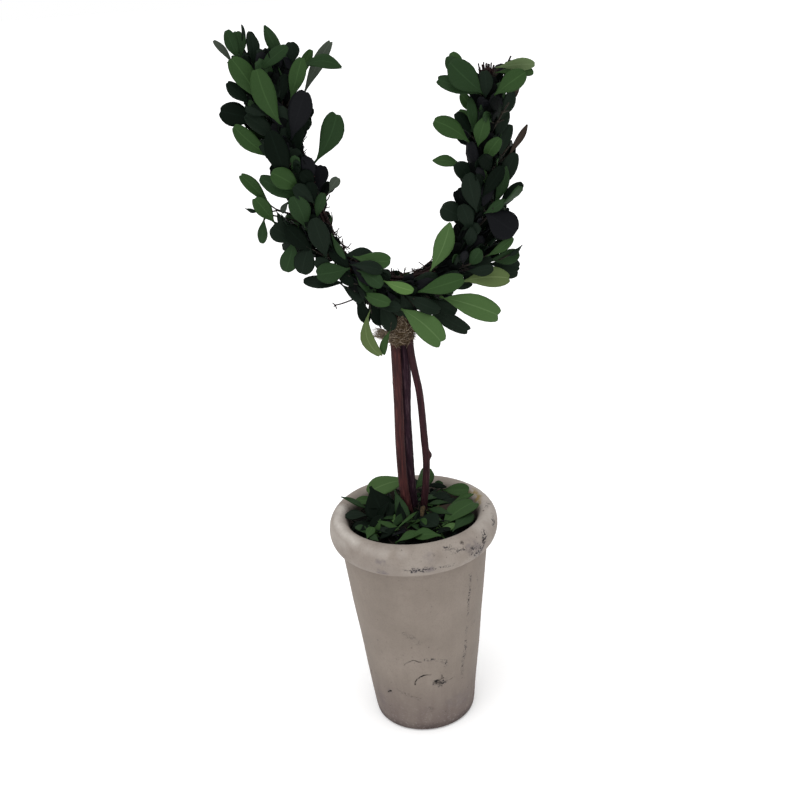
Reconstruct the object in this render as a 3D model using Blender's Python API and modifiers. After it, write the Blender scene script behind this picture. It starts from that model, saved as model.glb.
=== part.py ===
"""A potted boxwood monogram topiary: a U of bound vine twigs, wrapped in leafy
sprigs, on three bare stems that stand in a rolled-rim pot under a bed of leaves.

Metres, +Z up. The origin is the centre of the pot's flat underside, the U stands
in the plane y = 0 and its front looks along -Y. Hand-placed lines and leaves are
written in millimetres and turned into metres where they are read.
"""

import math
import random
from dataclasses import dataclass

import bmesh
import bpy
from mathutils import Matrix, Vector
from mathutils.bvhtree import BVHTree

NAME = "potted_boxwood_topiary"
MM = 0.001
GAP = 0.3 * MM
WELD = 0.01 * MM
SEED = 41

# Pot: a tapered wall under a rolled rim, with a worn foot
POT_HEIGHT = 150 * MM
FOOT_RADIUS = 33.5 * MM
FOOT_ROUND = 2.6 * MM
NECK_RADIUS = 47.9 * MM
ROLL_RADIUS = 47.7 * MM
ROLL_HALF_WIDTH = 6.6 * MM
ROLL_HALF_HEIGHT = 10.4 * MM
ROLL_FIRST = 157.5
ROLL_TURN = 22.5
ROLL_POINTS = 11
NECK_SHARE = 0.95
FLOOR_HEIGHT = 10 * MM
FLOOR_RADIUS = 26 * MM
FLOOR_ROUND = 3 * MM
FOOT_TURNS = (-20, -55, -90)
POT_STEPS = 28

# Filling and the bed of leaves that hides it
FILLING_TOP = 132.5 * MM
BED_CROWN = 146.5 * MM
BED_FALL = 9 * MM
BED_CURVE = 2.5
BED_RADIUS = 39.2 * MM
BED_SINK = 1.5 * MM
BED_FOOT_DEPTH = 4 * MM
BED_RINGS = (0, 0.5, 0.85, 1)
BED_STEPS = 24
BED_UPWARD = Vector((0, -0.35, 0.93))

# Loose leaves sprinkled on the bed, each about a golden turn on from the last
SPRINKLE_LEAVES = 20
SPRINKLE_SPREAD = 0.92
SPRINKLE_TURN = 2.4
SPRINKLE_JITTER = 0.3
SPRINKLE_RISE = (0.05, 0.45)
SPRINKLE_LENGTH = (13 * MM, 20 * MM)
SPRINKLE_TILT = 0.5

# Stems: centre lines in mm from the top down into the filling
STEM_LEFT = ((-3.0, -1.0, 296.4), (-2.6, -1.0, 270), (-2.7, -0.8, 250), (-3.4, -0.3, 225), (-4.2, 0.4, 200),
             (-4.1, 1.2, 180), (-2.8, 2.6, 162), (-0.6, 4.6, 146), (0.4, 5.4, 130), (0.8, 5.8, 106))
STEM_MIDDLE = ((1.7, 3.6, 296.1), (1.9, 3.6, 265), (1.2, 4.0, 240), (0.4, 4.8, 215),
               (0.8, 5.8, 190), (2.0, 7.6, 168), (3.4, 10.0, 146), (4.0, 11.0, 130), (4.2, 11.4, 106))
STEM_RIGHT = ((5.0, -1.5, 296.2), (5.2, -1.5, 262), (6.8, -1.3, 245), (8.9, -0.8, 232), (10.0, -0.4, 218),
              (10.7, 0, 200), (11.2, 0.4, 187), (10.9, 0.8, 178), (9.4, 1.6, 164), (7.4, 2.6, 148),
              (7.0, 3.0, 130), (7.0, 3.2, 106))
SOCKET_PLAY = 2 * MM
STEM_LEFT_RADII = (2.9 * MM, 3.1 * MM)
STEM_MIDDLE_RADII = (2.5 * MM, 2.7 * MM)
STEM_RIGHT_RADII = (2.0 * MM, 2.3 * MM)
STEMS = (("stem_left", STEM_LEFT, STEM_LEFT_RADII), ("stem_middle", STEM_MIDDLE, STEM_MIDDLE_RADII),
         ("stem_right", STEM_RIGHT, STEM_RIGHT_RADII))
BUD_AT = Vector((12.6, 0.4, 187)) * MM
BUD_RADIUS = 1.5 * MM

# Twine: turns of jute round the stems under the U
TWINE_CENTRE = Vector((1.3, 0.9, 0)) * MM
TWINE_LOW = 262.4 * MM
TWINE_TURNS = 5
TWINE_PITCH = 3.1 * MM
TWINE_RADIUS = 8.1 * MM
TWINE_BULGE = 0.7 * MM
TWINE_DEPTH_SHARE = 0.92
TWINE_STEPS = 14

# The U: the centre line of the bound vine, in mm, from the left arm's top round to the right arm's
U_LINE = ((-61, 0, 428), (-56, 0, 404), (-51.5, 0, 381), (-46.5, 0, 357), (-40, 0, 335), (-30, 0, 317.5),
          (-15, 0, 306), (3, 0, 301), (20, 0, 304.5), (33, 0, 313.5), (42, 0, 326), (48, 0, 344),
          (52.5, 0, 367), (56.5, 0, 393), (59, 0, 419))
VINE_RADIUS = 4.5 * MM
VINE_TIP_SHARE = 0.86
VINE_STEP = 12 * MM
VINE_LOBES = 7
VINE_LOBE_DEPTH = 0.86
# Each limb of the U runs between two shares of its length
LIMBS = {"vine_left_arm": (0.0, 0.325), "vine_left_bend": (0.325, 0.455), "vine_base": (0.455, 0.585),
         "vine_right_bend": (0.585, 0.71), "vine_right_arm": (0.71, 1.0)}

# Sheath of sprig feet round the vine, open towards the inside of the U
SHEATH_RADIUS = 7.2 * MM
SHEATH_WINDOW_RADIUS = 7.0 * MM
SHEATH_WINDOW_OFFSET = 8.2 * MM
SHEATH_PLAY = 0.8 * MM
SHEATH_STEP = 9 * MM
SHEATH_PAST = 3 * MM
SQUARE_END = 0.4 * MM

# Leaves and twigs
LEAF_THICK = 0.9 * MM
LEAF_BOW = 0.05
LEAF_WAIST = 0.6
LEAF_FULLNESS = 0.5
LEAF_OVERLAP = 2.0 * MM
TWIG_RADII = (0.95 * MM, 0.65 * MM)
TOWARDS_VIEWER = Vector((0, -0.93, 0.37))

# Feet of the hand-placed leaves in the sheath, as shares of the U's length
FOOT_MARGIN = 0.008
FOOT_BACK = 0.02
FOOT_SINK = 0.9 * MM
INWARD_LIMIT = math.radians(62)

# Seeded sprigs: where they stand round the vine, and ranges for what each draws; the angle runs
# from the inside of the U over its front and outside to its back
SPRIG_FIRST = 126
SPRIG_SWEEP = 172
SPRIG_GOLDEN = 0.618
SPRIG_JITTER = 9
SPRIG_PLACE = (0.2, 0.8)
SPRIG_SPAN = 0.8
SPRIG_LEAN = (24, 38)
SPRIG_REACH = (15 * MM, 20 * MM)
SPRIG_LEAF = (15 * MM, 19 * MM)
SPRIG_SINK = 1.2 * MM
SPRIG_SWING = (34, 52)
SPRIG_LIFT = (-0.1, 0.25)
SPRIG_GROWTH = (0.9, 1.12)
SPRIG_BREADTH = (0.42, 0.5)
# Seeded leaves stay below the highest leaves of each arm
ARM_TOPS = {-1: 451 * MM, 1: 431 * MM}
# Each leaf of a sprig: how far along the twig, on which hand, and its size
SPRIG_BLADES = ((1.0, 0, 1.0), (0.84, 1, 0.95), (0.84, -1, 0.95), (0.4, 1, 0.85), (0.4, -1, 0.85))


@dataclass(frozen=True)
class Leaf:
    """One blade: from its root to its tip, its width, and the way its upper side looks."""

    tip: Vector
    root: Vector
    width: float
    face: Vector


@dataclass(frozen=True)
class Mass:
    """One mass of foliage: its share of the U, which way its sprigs run, and its sprig count."""

    start: float
    end: float
    flow: int
    sprigs: int


MASSES = {
    "left_top_leaves": Mass(0.0, 0.105, -1, 5),
    "left_middle_leaves": Mass(0.105, 0.215, -1, 5),
    "left_low_leaves": Mass(0.215, 0.385, -1, 6),
    "base_left_leaves": Mass(0.385, 0.50, 1, 4),
    "base_right_leaves": Mass(0.50, 0.60, 1, 4),
    "right_low_leaves": Mass(0.60, 0.765, 1, 6),
    "right_middle_leaves": Mass(0.765, 0.89, 1, 5),
    "right_top_leaves": Mass(0.89, 1.0, 1, 5),
}

# Leaves that give each mass its own outline, in mm: tip, root, width, turn about the midrib in degrees
FRONT_LEAVES = {
    "left_top_leaves": (
        (-89, -6, 446, -80, -6, 433, 5, 65), (-81, -10, 450, -76, -7, 434, 6, 20),
        (-74, 5, 452, -75, 3, 437, 5, 70), (-70, 8, 448, -73, 4, 432, 6, 30),
        (-65, -4, 447, -68, -4, 430, 6, 40), (-60, 5, 450, -60, 4, 433, 8, 10),
        (-49, -12, 440, -66, -7, 428, 8, 35), (-47, 0, 442, -48, 0, 429, 8, 0),
        (-23, -4, 428, -44, -6, 428, 7, 20), (-26, 6, 439, -36, 4, 429, 6, 20),
        (-41, -14, 434, -50, -8, 413, 8, 10), (-52, -12, 426, -56, -8, 410, 6, 30),
        (-80, -15, 436, -69, -8, 414, 12, 0), (-66, -20, 430, -59, -9, 403, 11, 0),
        (-85, -2, 422, -73, -2, 408, 9, 20)),
    "left_middle_leaves": (
        (-90, -4, 408, -73, -3, 402, 11, 10), (-40, -20, 416, -52, -9, 390, 13, 0),
        (-83, -10, 398, -67, -6, 383, 10, 0), (-64, -16, 398, -62, -9, 378, 9, 0),
        (-28, -4, 403, -43, -4, 374, 11, 0)),
    "left_low_leaves": (
        (-65, -17, 376, -52, -10, 364, 11, 0), (-74, -12, 372, -57, -8, 359, 9, 15),
        (-37, 3, 373, -42, 1, 358, 9, 0), (-29, -3, 366, -38, -5, 351, 6, 20),
        (-83, -4, 371, -73, -3, 358, 6, 20), (-78, -7, 360, -70, -4, 344, 9, 0),
        (-77, -4, 332, -73, -3, 347, 5, 20), (-55, -17, 361, -51, -10, 341, 11, 0),
        (-46, -18, 349, -43, -9, 323, 11, 0), (-65, -9, 316, -58, -8, 335, 9, 0),
        (-55, -13, 315, -48, -9, 333, 12, 10), (-70, -8, 342, -55, -6, 334, 9, 0)),
    "base_left_leaves": (
        (-21, -6, 279, -26, -5, 296, 8, 20), (-12, -13, 262, -19, -8, 286, 10, 25),
        (-11, -5, 268, -6, -5, 283, 6, 30), (-4, -17, 294, -21, -9, 300, 8, 0),
        (-8, -15, 304, -22, -9, 313, 9, 0), (-2, -8, 317, -25, -6, 319, 10, 0),
        (10, -16, 300, -8, -9, 306, 7, 0), (-54, -10, 310, -33, -8, 311, 7, 20),
        (-3, -12, 284, -19, -9, 296, 8, 0)),
    "base_right_leaves": (
        (25, -16, 267, 2, -10, 289, 12, 0), (42, -3, 269, 17, -4, 290, 8, 25),
        (60, -10, 281, 26, -8, 294, 12, 0), (40, -17, 306, 11, -9, 297, 11, 0),
        (25, -8, 306, 9, -6, 304, 6, 15), (25, -13, 286, 4, -10, 297, 9, 0)),
    "right_low_leaves": (
        (33, -10, 338, 22, -8, 312, 11, 0), (67, -10, 303, 39, -8, 304, 9, 0),
        (57, -14, 310, 41, -9, 308, 7, 20), (66, -9, 325, 53, -8, 316, 6, 20),
        (50, -15, 322, 43, -9, 311, 8, 0), (45, -14, 335, 43, -9, 321, 8, 0),
        (74, 0, 315, 56, -3, 313, 7, 20), (75, 4, 305, 56, 1, 308, 7, 0),
        (72, -10, 330, 57, -7, 341, 15, 0), (29, -6, 347, 42, -6, 338, 12, 0),
        (40, -13, 348, 45, -9, 331, 10, 0), (44, -19, 367, 49, -10, 342, 11, 0)),
    "right_middle_leaves": (
        (25, -8, 373, 42, -6, 367, 6, 20), (39, -10, 371, 47, -8, 358, 8, 20),
        (27, -12, 395, 46, -8, 381, 10, 0), (40, -5, 398, 48, -5, 384, 8, 20),
        (56, -17, 397, 51, -10, 379, 9, 0), (63, -16, 384, 54, -10, 369, 8, 0),
        (81, 0, 387, 70, -2, 372, 5, 40), (76, -7, 357, 61, -7, 345, 7, 0),
        (64, -14, 368, 52, -9, 350, 9, 20), (74, -2, 373, 66, -4, 355, 7, 20),
        (71, -2, 389, 63, -5, 369, 7, 20)),
    "right_top_leaves": (
        (39, -14, 426, 56, -8, 407, 13, 0), (40, 3, 431, 47, 1, 418, 7, 0),
        (30, -9, 417, 49, -7, 405, 8, 15), (42, -3, 408, 50, -4, 395, 7, 20),
        (78, -14, 418, 61, -8, 406, 11, 0), (86, -5, 422, 64, -4, 420, 6, 55),
        (85, 5, 415, 68, 1, 419, 6, 20), (72, -4, 408, 64, -6, 392, 8, 25),
        (79, 3, 409, 68, -1, 397, 5, 40)),
}

# Leaves of the bed with a place of their own, in mm: tip, root, width, turn
BED_LEAVES = (
    (-27, 22, 158, -10, 30, 147, 12, -40), (15, 31, 157, 3, 33, 148, 10, -20),
    (32, 20, 149, 17, 24, 146, 9, -15), (36, 12, 149, 22, 4, 146, 4, 20),
    (37, 2, 149, 17, -20, 146, 10, 0), (33, -10, 147, 21, -26, 144, 8, 10),
    (4, -16, 152, 17, -26, 145, 12, 0), (1, -28, 149, 15, -33, 144, 8, 0),
    (2, -27, 150, -10, -33, 143, 7, 10), (7, -9, 153, 18, -20, 148, 4, 30),
    (-25, 21, 159, -20, -2, 144, 12, -35), (-11, 14, 158, -9, -15, 145, 6, -50),
    (-8, 2, 154, -5, -19, 146, 5, 40), (-38, 9, 155, -25, 8, 146, 4, 40),
    (-36, 2, 148, -24, 4, 145, 7, 0), (-22, -18, 152, -28, -24, 144, 7, 20),
    (3, -10, 153, -11, -23, 146, 4, 30), (29, 0, 149, 11, -5, 148, 5, 20),
    (-34, -9, 146, -28, -20, 143, 6, 0), (20, 27, 154, 13, 33, 148, 5, 0))


def clear_scene() -> None:
    """Remove the objects that the scene starts with."""
    for obj in list(bpy.data.objects):
        bpy.data.objects.remove(obj, do_unlink=True)


def new_collection(name: str) -> bpy.types.Collection:
    """Link and return an empty collection."""
    collection = bpy.data.collections.new(name)
    bpy.context.scene.collection.children.link(collection)
    return collection


def new_material(name: str, color: tuple, roughness: float) -> bpy.types.Material:
    """Return a non-metallic Principled material of one colour."""
    material = bpy.data.materials.new(name)
    material.use_nodes = True
    shader = material.node_tree.nodes["Principled BSDF"]
    shader.inputs["Base Color"].default_value = (*color, 1)
    shader.inputs["Roughness"].default_value = roughness
    shader.inputs["Metallic"].default_value = 0
    material.diffuse_color = (*color, 1)
    return material


def signed_volume(faces: list) -> float:
    """Return the volume inside a shell of faces, negative where they point inwards."""
    total = 0.0
    for face in faces:
        corners = [vert.co for vert in face.verts]
        for b, c in zip(corners[1:], corners[2:]):
            total += corners[0].dot(b.cross(c)) / 6
    return total


def link_mesh(name: str, bm: bmesh.types.BMesh, collection: bpy.types.Collection) -> bpy.types.Object:
    """Turn a closed bmesh into an object of a collection, with its faces pointing out, and free it."""
    bmesh.ops.recalc_face_normals(bm, faces=bm.faces)
    if signed_volume(bm.faces) < 0:
        bmesh.ops.reverse_faces(bm, faces=bm.faces)
    mesh = bpy.data.meshes.new(name)
    bm.to_mesh(mesh)
    bm.free()
    obj = bpy.data.objects.new(name, mesh)
    collection.objects.link(obj)
    return obj


def dress(obj: bpy.types.Object, material: bpy.types.Material, sharp_degrees: float = 40) -> None:
    """Give an object its material and smooth shading between its sharp edges."""
    obj.data.materials.clear()
    obj.data.materials.append(material)
    obj.data.shade_smooth()
    obj.data.set_sharp_from_angle(angle=math.radians(sharp_degrees))


def baked(obj: bpy.types.Object, collection: bpy.types.Collection) -> bpy.types.Object:
    """Replace a curve or a modified object by its evaluated mesh, with its caps welded on."""
    graph = bpy.context.evaluated_depsgraph_get()
    mesh = bpy.data.meshes.new_from_object(obj.evaluated_get(graph))
    mesh.transform(obj.matrix_world)
    name = obj.name
    bpy.data.objects.remove(obj, do_unlink=True)
    bm = bmesh.new()
    bm.from_mesh(mesh)
    bpy.data.meshes.remove(mesh)
    bmesh.ops.remove_doubles(bm, verts=bm.verts, dist=WELD)
    return link_mesh(name, bm, collection)


def turned(name: str, profile: list, steps: int, collection: bpy.types.Collection) -> bpy.types.Object:
    """Spin a profile of (radius, height) pairs round the Z axis with a Screw modifier."""
    bm = bmesh.new()
    verts = [bm.verts.new((radius, 0, height)) for radius, height in profile]
    for a, b in zip(verts, verts[1:]):
        bm.edges.new((a, b))
    mesh = bpy.data.meshes.new(name)
    bm.to_mesh(mesh)
    bm.free()
    obj = bpy.data.objects.new(name, mesh)
    collection.objects.link(obj)
    screw = obj.modifiers.new("turn", "SCREW")
    screw.steps = steps
    screw.render_steps = steps
    screw.use_merge_vertices = True
    screw.merge_threshold = 0.0001
    return obj


def tube(name: str, points: list, radii: list, collection: bpy.types.Collection,
         resolution: int = 2, profile: bpy.types.Object | None = None) -> bpy.types.Object:
    """Make a closed tube along a line, from a curve with a bevel and filled caps.

    With a profile object the radii scale that outline, otherwise they are real radii.
    """
    curve = bpy.data.curves.new(name, "CURVE")
    curve.dimensions = "3D"
    curve.use_fill_caps = True
    if profile:
        curve.bevel_mode = "OBJECT"
        curve.bevel_object = profile
    else:
        curve.bevel_depth = 1
        curve.bevel_resolution = resolution
    spline = curve.splines.new("POLY")
    spline.points.add(len(points) - 1)
    for knot, point, radius in zip(spline.points, points, radii):
        knot.co = (*point, 1)
        knot.radius = radius
    obj = bpy.data.objects.new(name, curve)
    collection.objects.link(obj)
    return baked(obj, collection)


def boolean(target: bpy.types.Object, operation: str, tools: bpy.types.Collection) -> None:
    """Join every object of a collection to the target, or cut it away, and remove the objects."""
    modifier = target.modifiers.new(operation.lower(), "BOOLEAN")
    modifier.operation = operation
    modifier.operand_type = "COLLECTION"
    modifier.collection = tools
    modifier.solver = "MANIFOLD"
    graph = bpy.context.evaluated_depsgraph_get()
    mesh = bpy.data.meshes.new_from_object(target.evaluated_get(graph))
    target.modifiers.clear()
    target.data = mesh
    for tool in list(tools.objects):
        bpy.data.objects.remove(tool, do_unlink=True)


def shells_of(bm: bmesh.types.BMesh) -> list:
    """Return the separate shells of a bmesh, each a list of faces."""
    left = set(bm.faces)
    shells = []
    while left:
        stack = [left.pop()]
        shell = list(stack)
        while stack:
            for edge in stack.pop().edges:
                for face in edge.link_faces if len(edge.link_faces) == 2 else ():
                    if face in left:
                        left.remove(face)
                        stack.append(face)
                        shell.append(face)
        shells.append(shell)
    return shells


def keep_outer_shell(obj: bpy.types.Object) -> None:
    """Fill the hollows that joining sealed and drop loose scraps: only the largest shell stays."""
    bm = bmesh.new()
    bm.from_mesh(obj.data)
    bmesh.ops.triangulate(bm, faces=bm.faces)
    shells = sorted(shells_of(bm), key=signed_volume)
    for shell in shells[:-1]:
        bmesh.ops.delete(bm, geom=shell, context="FACES")
    bm.to_mesh(obj.data)
    bm.free()


def smooth_line(points: tuple, per_span: int) -> list:
    """Return points in metres on a Catmull-Rom curve through hand-placed points in mm."""
    knots = [Vector(point) * MM for point in points]
    knots = [2 * knots[0] - knots[1], *knots, 2 * knots[-1] - knots[-2]]
    line = []
    for a, b, c, d in zip(knots, knots[1:], knots[2:], knots[3:]):
        for step in range(per_span):
            t = step / per_span
            line.append(0.5 * (2 * b + (c - a) * t + (2 * a - 5 * b + 4 * c - d) * t * t
                               + (3 * b - a - 3 * c + d) * t ** 3))
    return [*line, knots[-2]]


class Line:
    """A smooth line that gives places by their share of its length."""

    def __init__(self, points: tuple) -> None:
        self.points = smooth_line(points, 8)
        self.run = [0.0]
        for a, b in zip(self.points, self.points[1:]):
            self.run.append(self.run[-1] + (b - a).length)
        self.length = self.run[-1]

    def at(self, share: float) -> Vector:
        """Return the point at a share of the length."""
        goal = min(max(share, 0.0), 1.0) * self.length
        for k in range(1, len(self.run)):
            if self.run[k] >= goal:
                t = (goal - self.run[k - 1]) / (self.run[k] - self.run[k - 1])
                return self.points[k - 1].lerp(self.points[k], t)
        return self.points[-1]

    def forward(self, share: float) -> Vector:
        """Return the direction of travel at a share of the length."""
        reach = 0.01
        return (self.at(min(share + reach, 1)) - self.at(max(share - reach, 0))).normalized()

    def inward(self, share: float) -> Vector:
        """Return the direction towards the inside of the U."""
        ahead = self.forward(share)
        return Vector((-ahead.z, 0, ahead.x))

    def nearest(self, point: Vector) -> float:
        """Return the share of the length that lies nearest to a point."""
        k = min(range(len(self.points)), key=lambda i: (self.points[i] - point).length)
        return self.run[k] / self.length

    def cut(self, start: float, end: float, step: float, trim: float) -> list:
        """Return points between two shares, shortened by a trim at each end.

        A short first and last span lets each end be cut square to the line, so that
        neighbouring pieces meet face to face.
        """
        first = start * self.length + trim
        last = end * self.length - trim
        count = max(2, round((last - first) / step) + 1)
        runs = [first + (last - first) * k / (count - 1) for k in range(count)]
        runs[1:1] = [first + SQUARE_END]
        runs[-1:-1] = [last - SQUARE_END]
        return [self.at(run / self.length) for run in runs]


def leaf_bmesh(leaf: Leaf, grow: float = 0.0) -> bmesh.types.BMesh:
    """Shape a five-sided ball into an obovate blade with a blunt tip, bowed along its length.

    The ball's first ring vertex looks along +Y and becomes the root, the two opposite ones the tip.
    """
    bm = bmesh.new()
    bmesh.ops.create_uvsphere(bm, u_segments=5, v_segments=2, radius=1)
    along = (leaf.tip - leaf.root).normalized()
    side = leaf.face.cross(along).normalized()
    up = along.cross(side)
    length = (leaf.tip - leaf.root).length
    far = 1 + math.cos(math.radians(36))
    for vert in bm.verts:
        across, back, height = vert.co
        pole = abs(height) > 0.5
        share = LEAF_WAIST if pole else (max(1 - back, 0) / far) ** LEAF_FULLNESS
        breadth = across * (leaf.width / 2 + grow)
        lift = height * (LEAF_THICK / 2 + grow) + LEAF_BOW * length * 4 * share * (1 - share)
        reach = share * length - (0 if pole else back * grow)
        vert.co = leaf.root + along * reach + side * breadth + up * lift
    return bm


def twig_bmesh(foot: Vector, head: Vector, grow: float = 0.0) -> bmesh.types.BMesh:
    """Make a three-sided twig that tapers from its foot to its head."""
    run = head - foot
    turn = run.to_track_quat("Z", "Y").to_matrix().to_4x4()
    bm = bmesh.new()
    bmesh.ops.create_cone(bm, cap_ends=True, cap_tris=False, segments=3, radius1=TWIG_RADII[0] + grow,
                          radius2=TWIG_RADII[1] + grow, depth=run.length + 2 * grow,
                          matrix=Matrix.Translation((foot + head) / 2) @ turn)
    return bm


def tree_of(bm: bmesh.types.BMesh) -> BVHTree:
    """Return a search tree of a bmesh and free the bmesh."""
    tree = BVHTree.FromBMesh(bm)
    bm.free()
    return tree


def tree_of_object(obj: bpy.types.Object) -> BVHTree:
    """Return a search tree of an object's evaluated mesh."""
    bm = bmesh.new()
    bm.from_object(obj, bpy.context.evaluated_depsgraph_get())
    return tree_of(bm)


class Garden:
    """Every leaf and twig that has been placed, with the solids that they keep clear of."""

    def __init__(self) -> None:
        self.solids = []
        self.placed = {}

    def keep_clear_of(self, obj: bpy.types.Object) -> None:
        """Add a solid that no leaf may touch."""
        self.solids.append(tree_of_object(obj))

    def fits(self, owner: str, bm: bmesh.types.BMesh) -> bool:
        """Say whether a grown-out shape is clear of the solids and of every other mass."""
        tree = tree_of(bm)
        others = [other for name, trees in self.placed.items() if name != owner for other in trees]
        return not any(tree.overlap(other) for other in self.solids + others)

    def place(self, owner: str, parts: list, collection: bpy.types.Collection) -> bool:
        """Place a leaf and its twigs together, or skip them all where one is not clear.

        Each part is a function that makes its bmesh when given how far to grow it out.
        """
        if not all(self.fits(owner, make(GAP)) for make in parts):
            return False
        for make in parts:
            self.placed.setdefault(owner, []).append(tree_of(make(0.0)))
            link_mesh("sprig", make(0.0), collection)
        return True


def sheath(name: str, mass: Mass, line: Line, stems: list, parts: bpy.types.Collection,
           cutters: bpy.types.Collection) -> bpy.types.Object:
    """Make the channel that a mass grows from, clear of vine and stems and open on its inner side."""
    points = line.cut(mass.start, mass.end, SHEATH_STEP, GAP)
    obj = tube(name, points, [SHEATH_RADIUS] * len(points), parts, resolution=2)
    before = line.forward(mass.start) * SHEATH_PAST
    behind = line.forward(mass.end) * SHEATH_PAST
    through = [points[0] - before, *points[1:-1], points[-1] + behind]
    bore = VINE_RADIUS + SHEATH_PLAY
    tube(name + "_bore", through, [bore] * len(through), cutters, resolution=2)
    window = [point + line.inward(line.nearest(point)) * SHEATH_WINDOW_OFFSET for point in through]
    tube(name + "_window", window, [SHEATH_WINDOW_RADIUS] * len(window), cutters, resolution=2)
    stem_cutters(stems, cutters)
    boolean(obj, "DIFFERENCE", cutters)
    return obj


def outward(line: Line, share: float, angle: float) -> Vector:
    """Return the direction that stands off the vine at an angle from the inside of the U."""
    return line.inward(share) * math.cos(angle) + Vector((0, -1, 0)) * math.sin(angle)


def foot_for(root: Vector, line: Line, mass: Mass) -> Vector:
    """Return the place in the sheath's wall where the twig of a hand-placed leaf starts."""
    share = line.nearest(root) - mass.flow * FOOT_BACK
    share = min(max(share, mass.start + FOOT_MARGIN), mass.end - FOOT_MARGIN)
    off = root - line.at(share)
    angle = math.atan2(-off.y, off.dot(line.inward(share)))
    if abs(angle) < INWARD_LIMIT:
        angle = math.copysign(INWARD_LIMIT, angle)
    return line.at(share) + outward(line, share, angle) * (SHEATH_RADIUS - FOOT_SINK)


def read_leaf(row: tuple, up: Vector) -> Leaf:
    """Turn a row of millimetres into a leaf with its face turned about the midrib from a direction."""
    tip = Vector(row[0:3]) * MM
    root = Vector(row[3:6]) * MM
    face = Matrix.Rotation(math.radians(row[7]), 3, (tip - root).normalized()) @ up
    return Leaf(tip, root, row[6] * MM, face)


def leaf_parts(leaf: Leaf, foot: Vector) -> list:
    """Return the makers of a leaf and of the twig that carries it, sunk well into each other."""
    inside = leaf.root + (leaf.tip - leaf.root).normalized() * LEAF_OVERLAP
    return [lambda grow: leaf_bmesh(leaf, grow), lambda grow: twig_bmesh(foot, inside, grow)]


def grow_sprig(garden: Garden, name: str, line: Line, order: int, sprigs: bpy.types.Collection) -> None:
    """Grow one sprig: a twig off the sheath, pairs of leaves on it, and one at its end.

    It draws from a generator of its own, so a leaf that is skipped changes no other sprig.
    """
    mass = MASSES[name]
    draw = random.Random(SEED + 100 * list(MASSES).index(name) + order)
    place = SPRIG_SPAN * (order + draw.uniform(*SPRIG_PLACE)) / mass.sprigs
    share = (mass.start if mass.flow > 0 else mass.end) + mass.flow * (mass.end - mass.start) * place
    angle = SPRIG_FIRST + SPRIG_SWEEP * (order * SPRIG_GOLDEN % 1)
    angle += draw.uniform(-SPRIG_JITTER, SPRIG_JITTER)
    lean = math.radians(draw.uniform(*SPRIG_LEAN))
    reach = draw.uniform(*SPRIG_REACH)
    size = draw.uniform(*SPRIG_LEAF)
    off = outward(line, share, math.radians(angle))
    run = line.forward(share) * mass.flow * math.cos(lean) + off * math.sin(lean)
    foot = line.at(share) + off * (SHEATH_RADIUS - SPRIG_SINK)
    head = foot + run * reach
    side = run.cross(off).normalized()
    if not garden.place(name, [lambda grow: twig_bmesh(foot, head, grow)], sprigs):
        return
    for along, hand, share_of_size in SPRIG_BLADES:
        swing = math.radians(draw.uniform(*SPRIG_SWING)) * hand
        lift = draw.uniform(*SPRIG_LIFT)
        length = size * share_of_size * draw.uniform(*SPRIG_GROWTH)
        width = length * draw.uniform(*SPRIG_BREADTH)
        root = foot.lerp(head, along) - run * SPRIG_SINK
        aim = (run * math.cos(swing) + side * math.sin(swing) + off * lift).normalized()
        leaf = Leaf(root + aim * length, root, width, off)
        if leaf.tip.z < ARM_TOPS[math.copysign(1, leaf.tip.x)]:
            garden.place(name, [lambda grow, leaf=leaf: leaf_bmesh(leaf, grow)], sprigs)


def build_pot(parts: bpy.types.Collection) -> bpy.types.Object:
    """Turn the pot: floor, inner wall, rolled rim, tapered outer wall and worn foot."""
    roll_height = POT_HEIGHT - ROLL_HALF_HEIGHT
    opening = ROLL_RADIUS - ROLL_HALF_WIDTH
    inside = [(0, FLOOR_HEIGHT), (FLOOR_RADIUS - FLOOR_ROUND, FLOOR_HEIGHT),
              (FLOOR_RADIUS, FLOOR_HEIGHT + FLOOR_ROUND), (opening, roll_height)]
    roll = []
    for point in range(ROLL_POINTS):
        turn = math.radians(ROLL_FIRST - ROLL_TURN * point)
        roll.append((ROLL_RADIUS + ROLL_HALF_WIDTH * math.cos(turn),
                     roll_height + ROLL_HALF_HEIGHT * math.sin(turn)))
    neck = roll_height - NECK_SHARE * ROLL_HALF_HEIGHT
    slope = (NECK_RADIUS - FOOT_RADIUS) / neck
    wall = [(NECK_RADIUS, neck), (FOOT_RADIUS + slope * FOOT_ROUND * 2, FOOT_ROUND * 2)]
    foot = []
    for degrees in FOOT_TURNS:
        turn = math.radians(degrees)
        foot.append((FOOT_RADIUS - FOOT_ROUND + FOOT_ROUND * math.cos(turn),
                     FOOT_ROUND + FOOT_ROUND * math.sin(turn)))
    pot = turned("pot", [*inside, *roll, *wall, *foot, (0, 0)], POT_STEPS, parts)
    dress(pot, new_material("worn_clay", (0.27, 0.235, 0.2), 0.9))
    return pot


def inner_radius(height: float) -> float:
    """Return the radius of the pot's inner wall at a height."""
    low = FLOOR_HEIGHT + FLOOR_ROUND
    high = POT_HEIGHT - ROLL_HALF_HEIGHT
    return FLOOR_RADIUS + (ROLL_RADIUS - ROLL_HALF_WIDTH - FLOOR_RADIUS) * (height - low) / (high - low)


def stem_cutters(lines: list, cutters: bpy.types.Collection) -> None:
    """Add a cutter a gap wider than each stem to the cutters."""
    for k, (points, radii) in enumerate(lines):
        above = points[0] + Vector((0, 0, SOCKET_PLAY))
        below = points[-1] - Vector((0, 0, 2 * GAP))
        longer = [above, *points[1:-1], below]
        tube(f"socket_{k}", longer, [radius + GAP for radius in radii], cutters, resolution=3)


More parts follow.
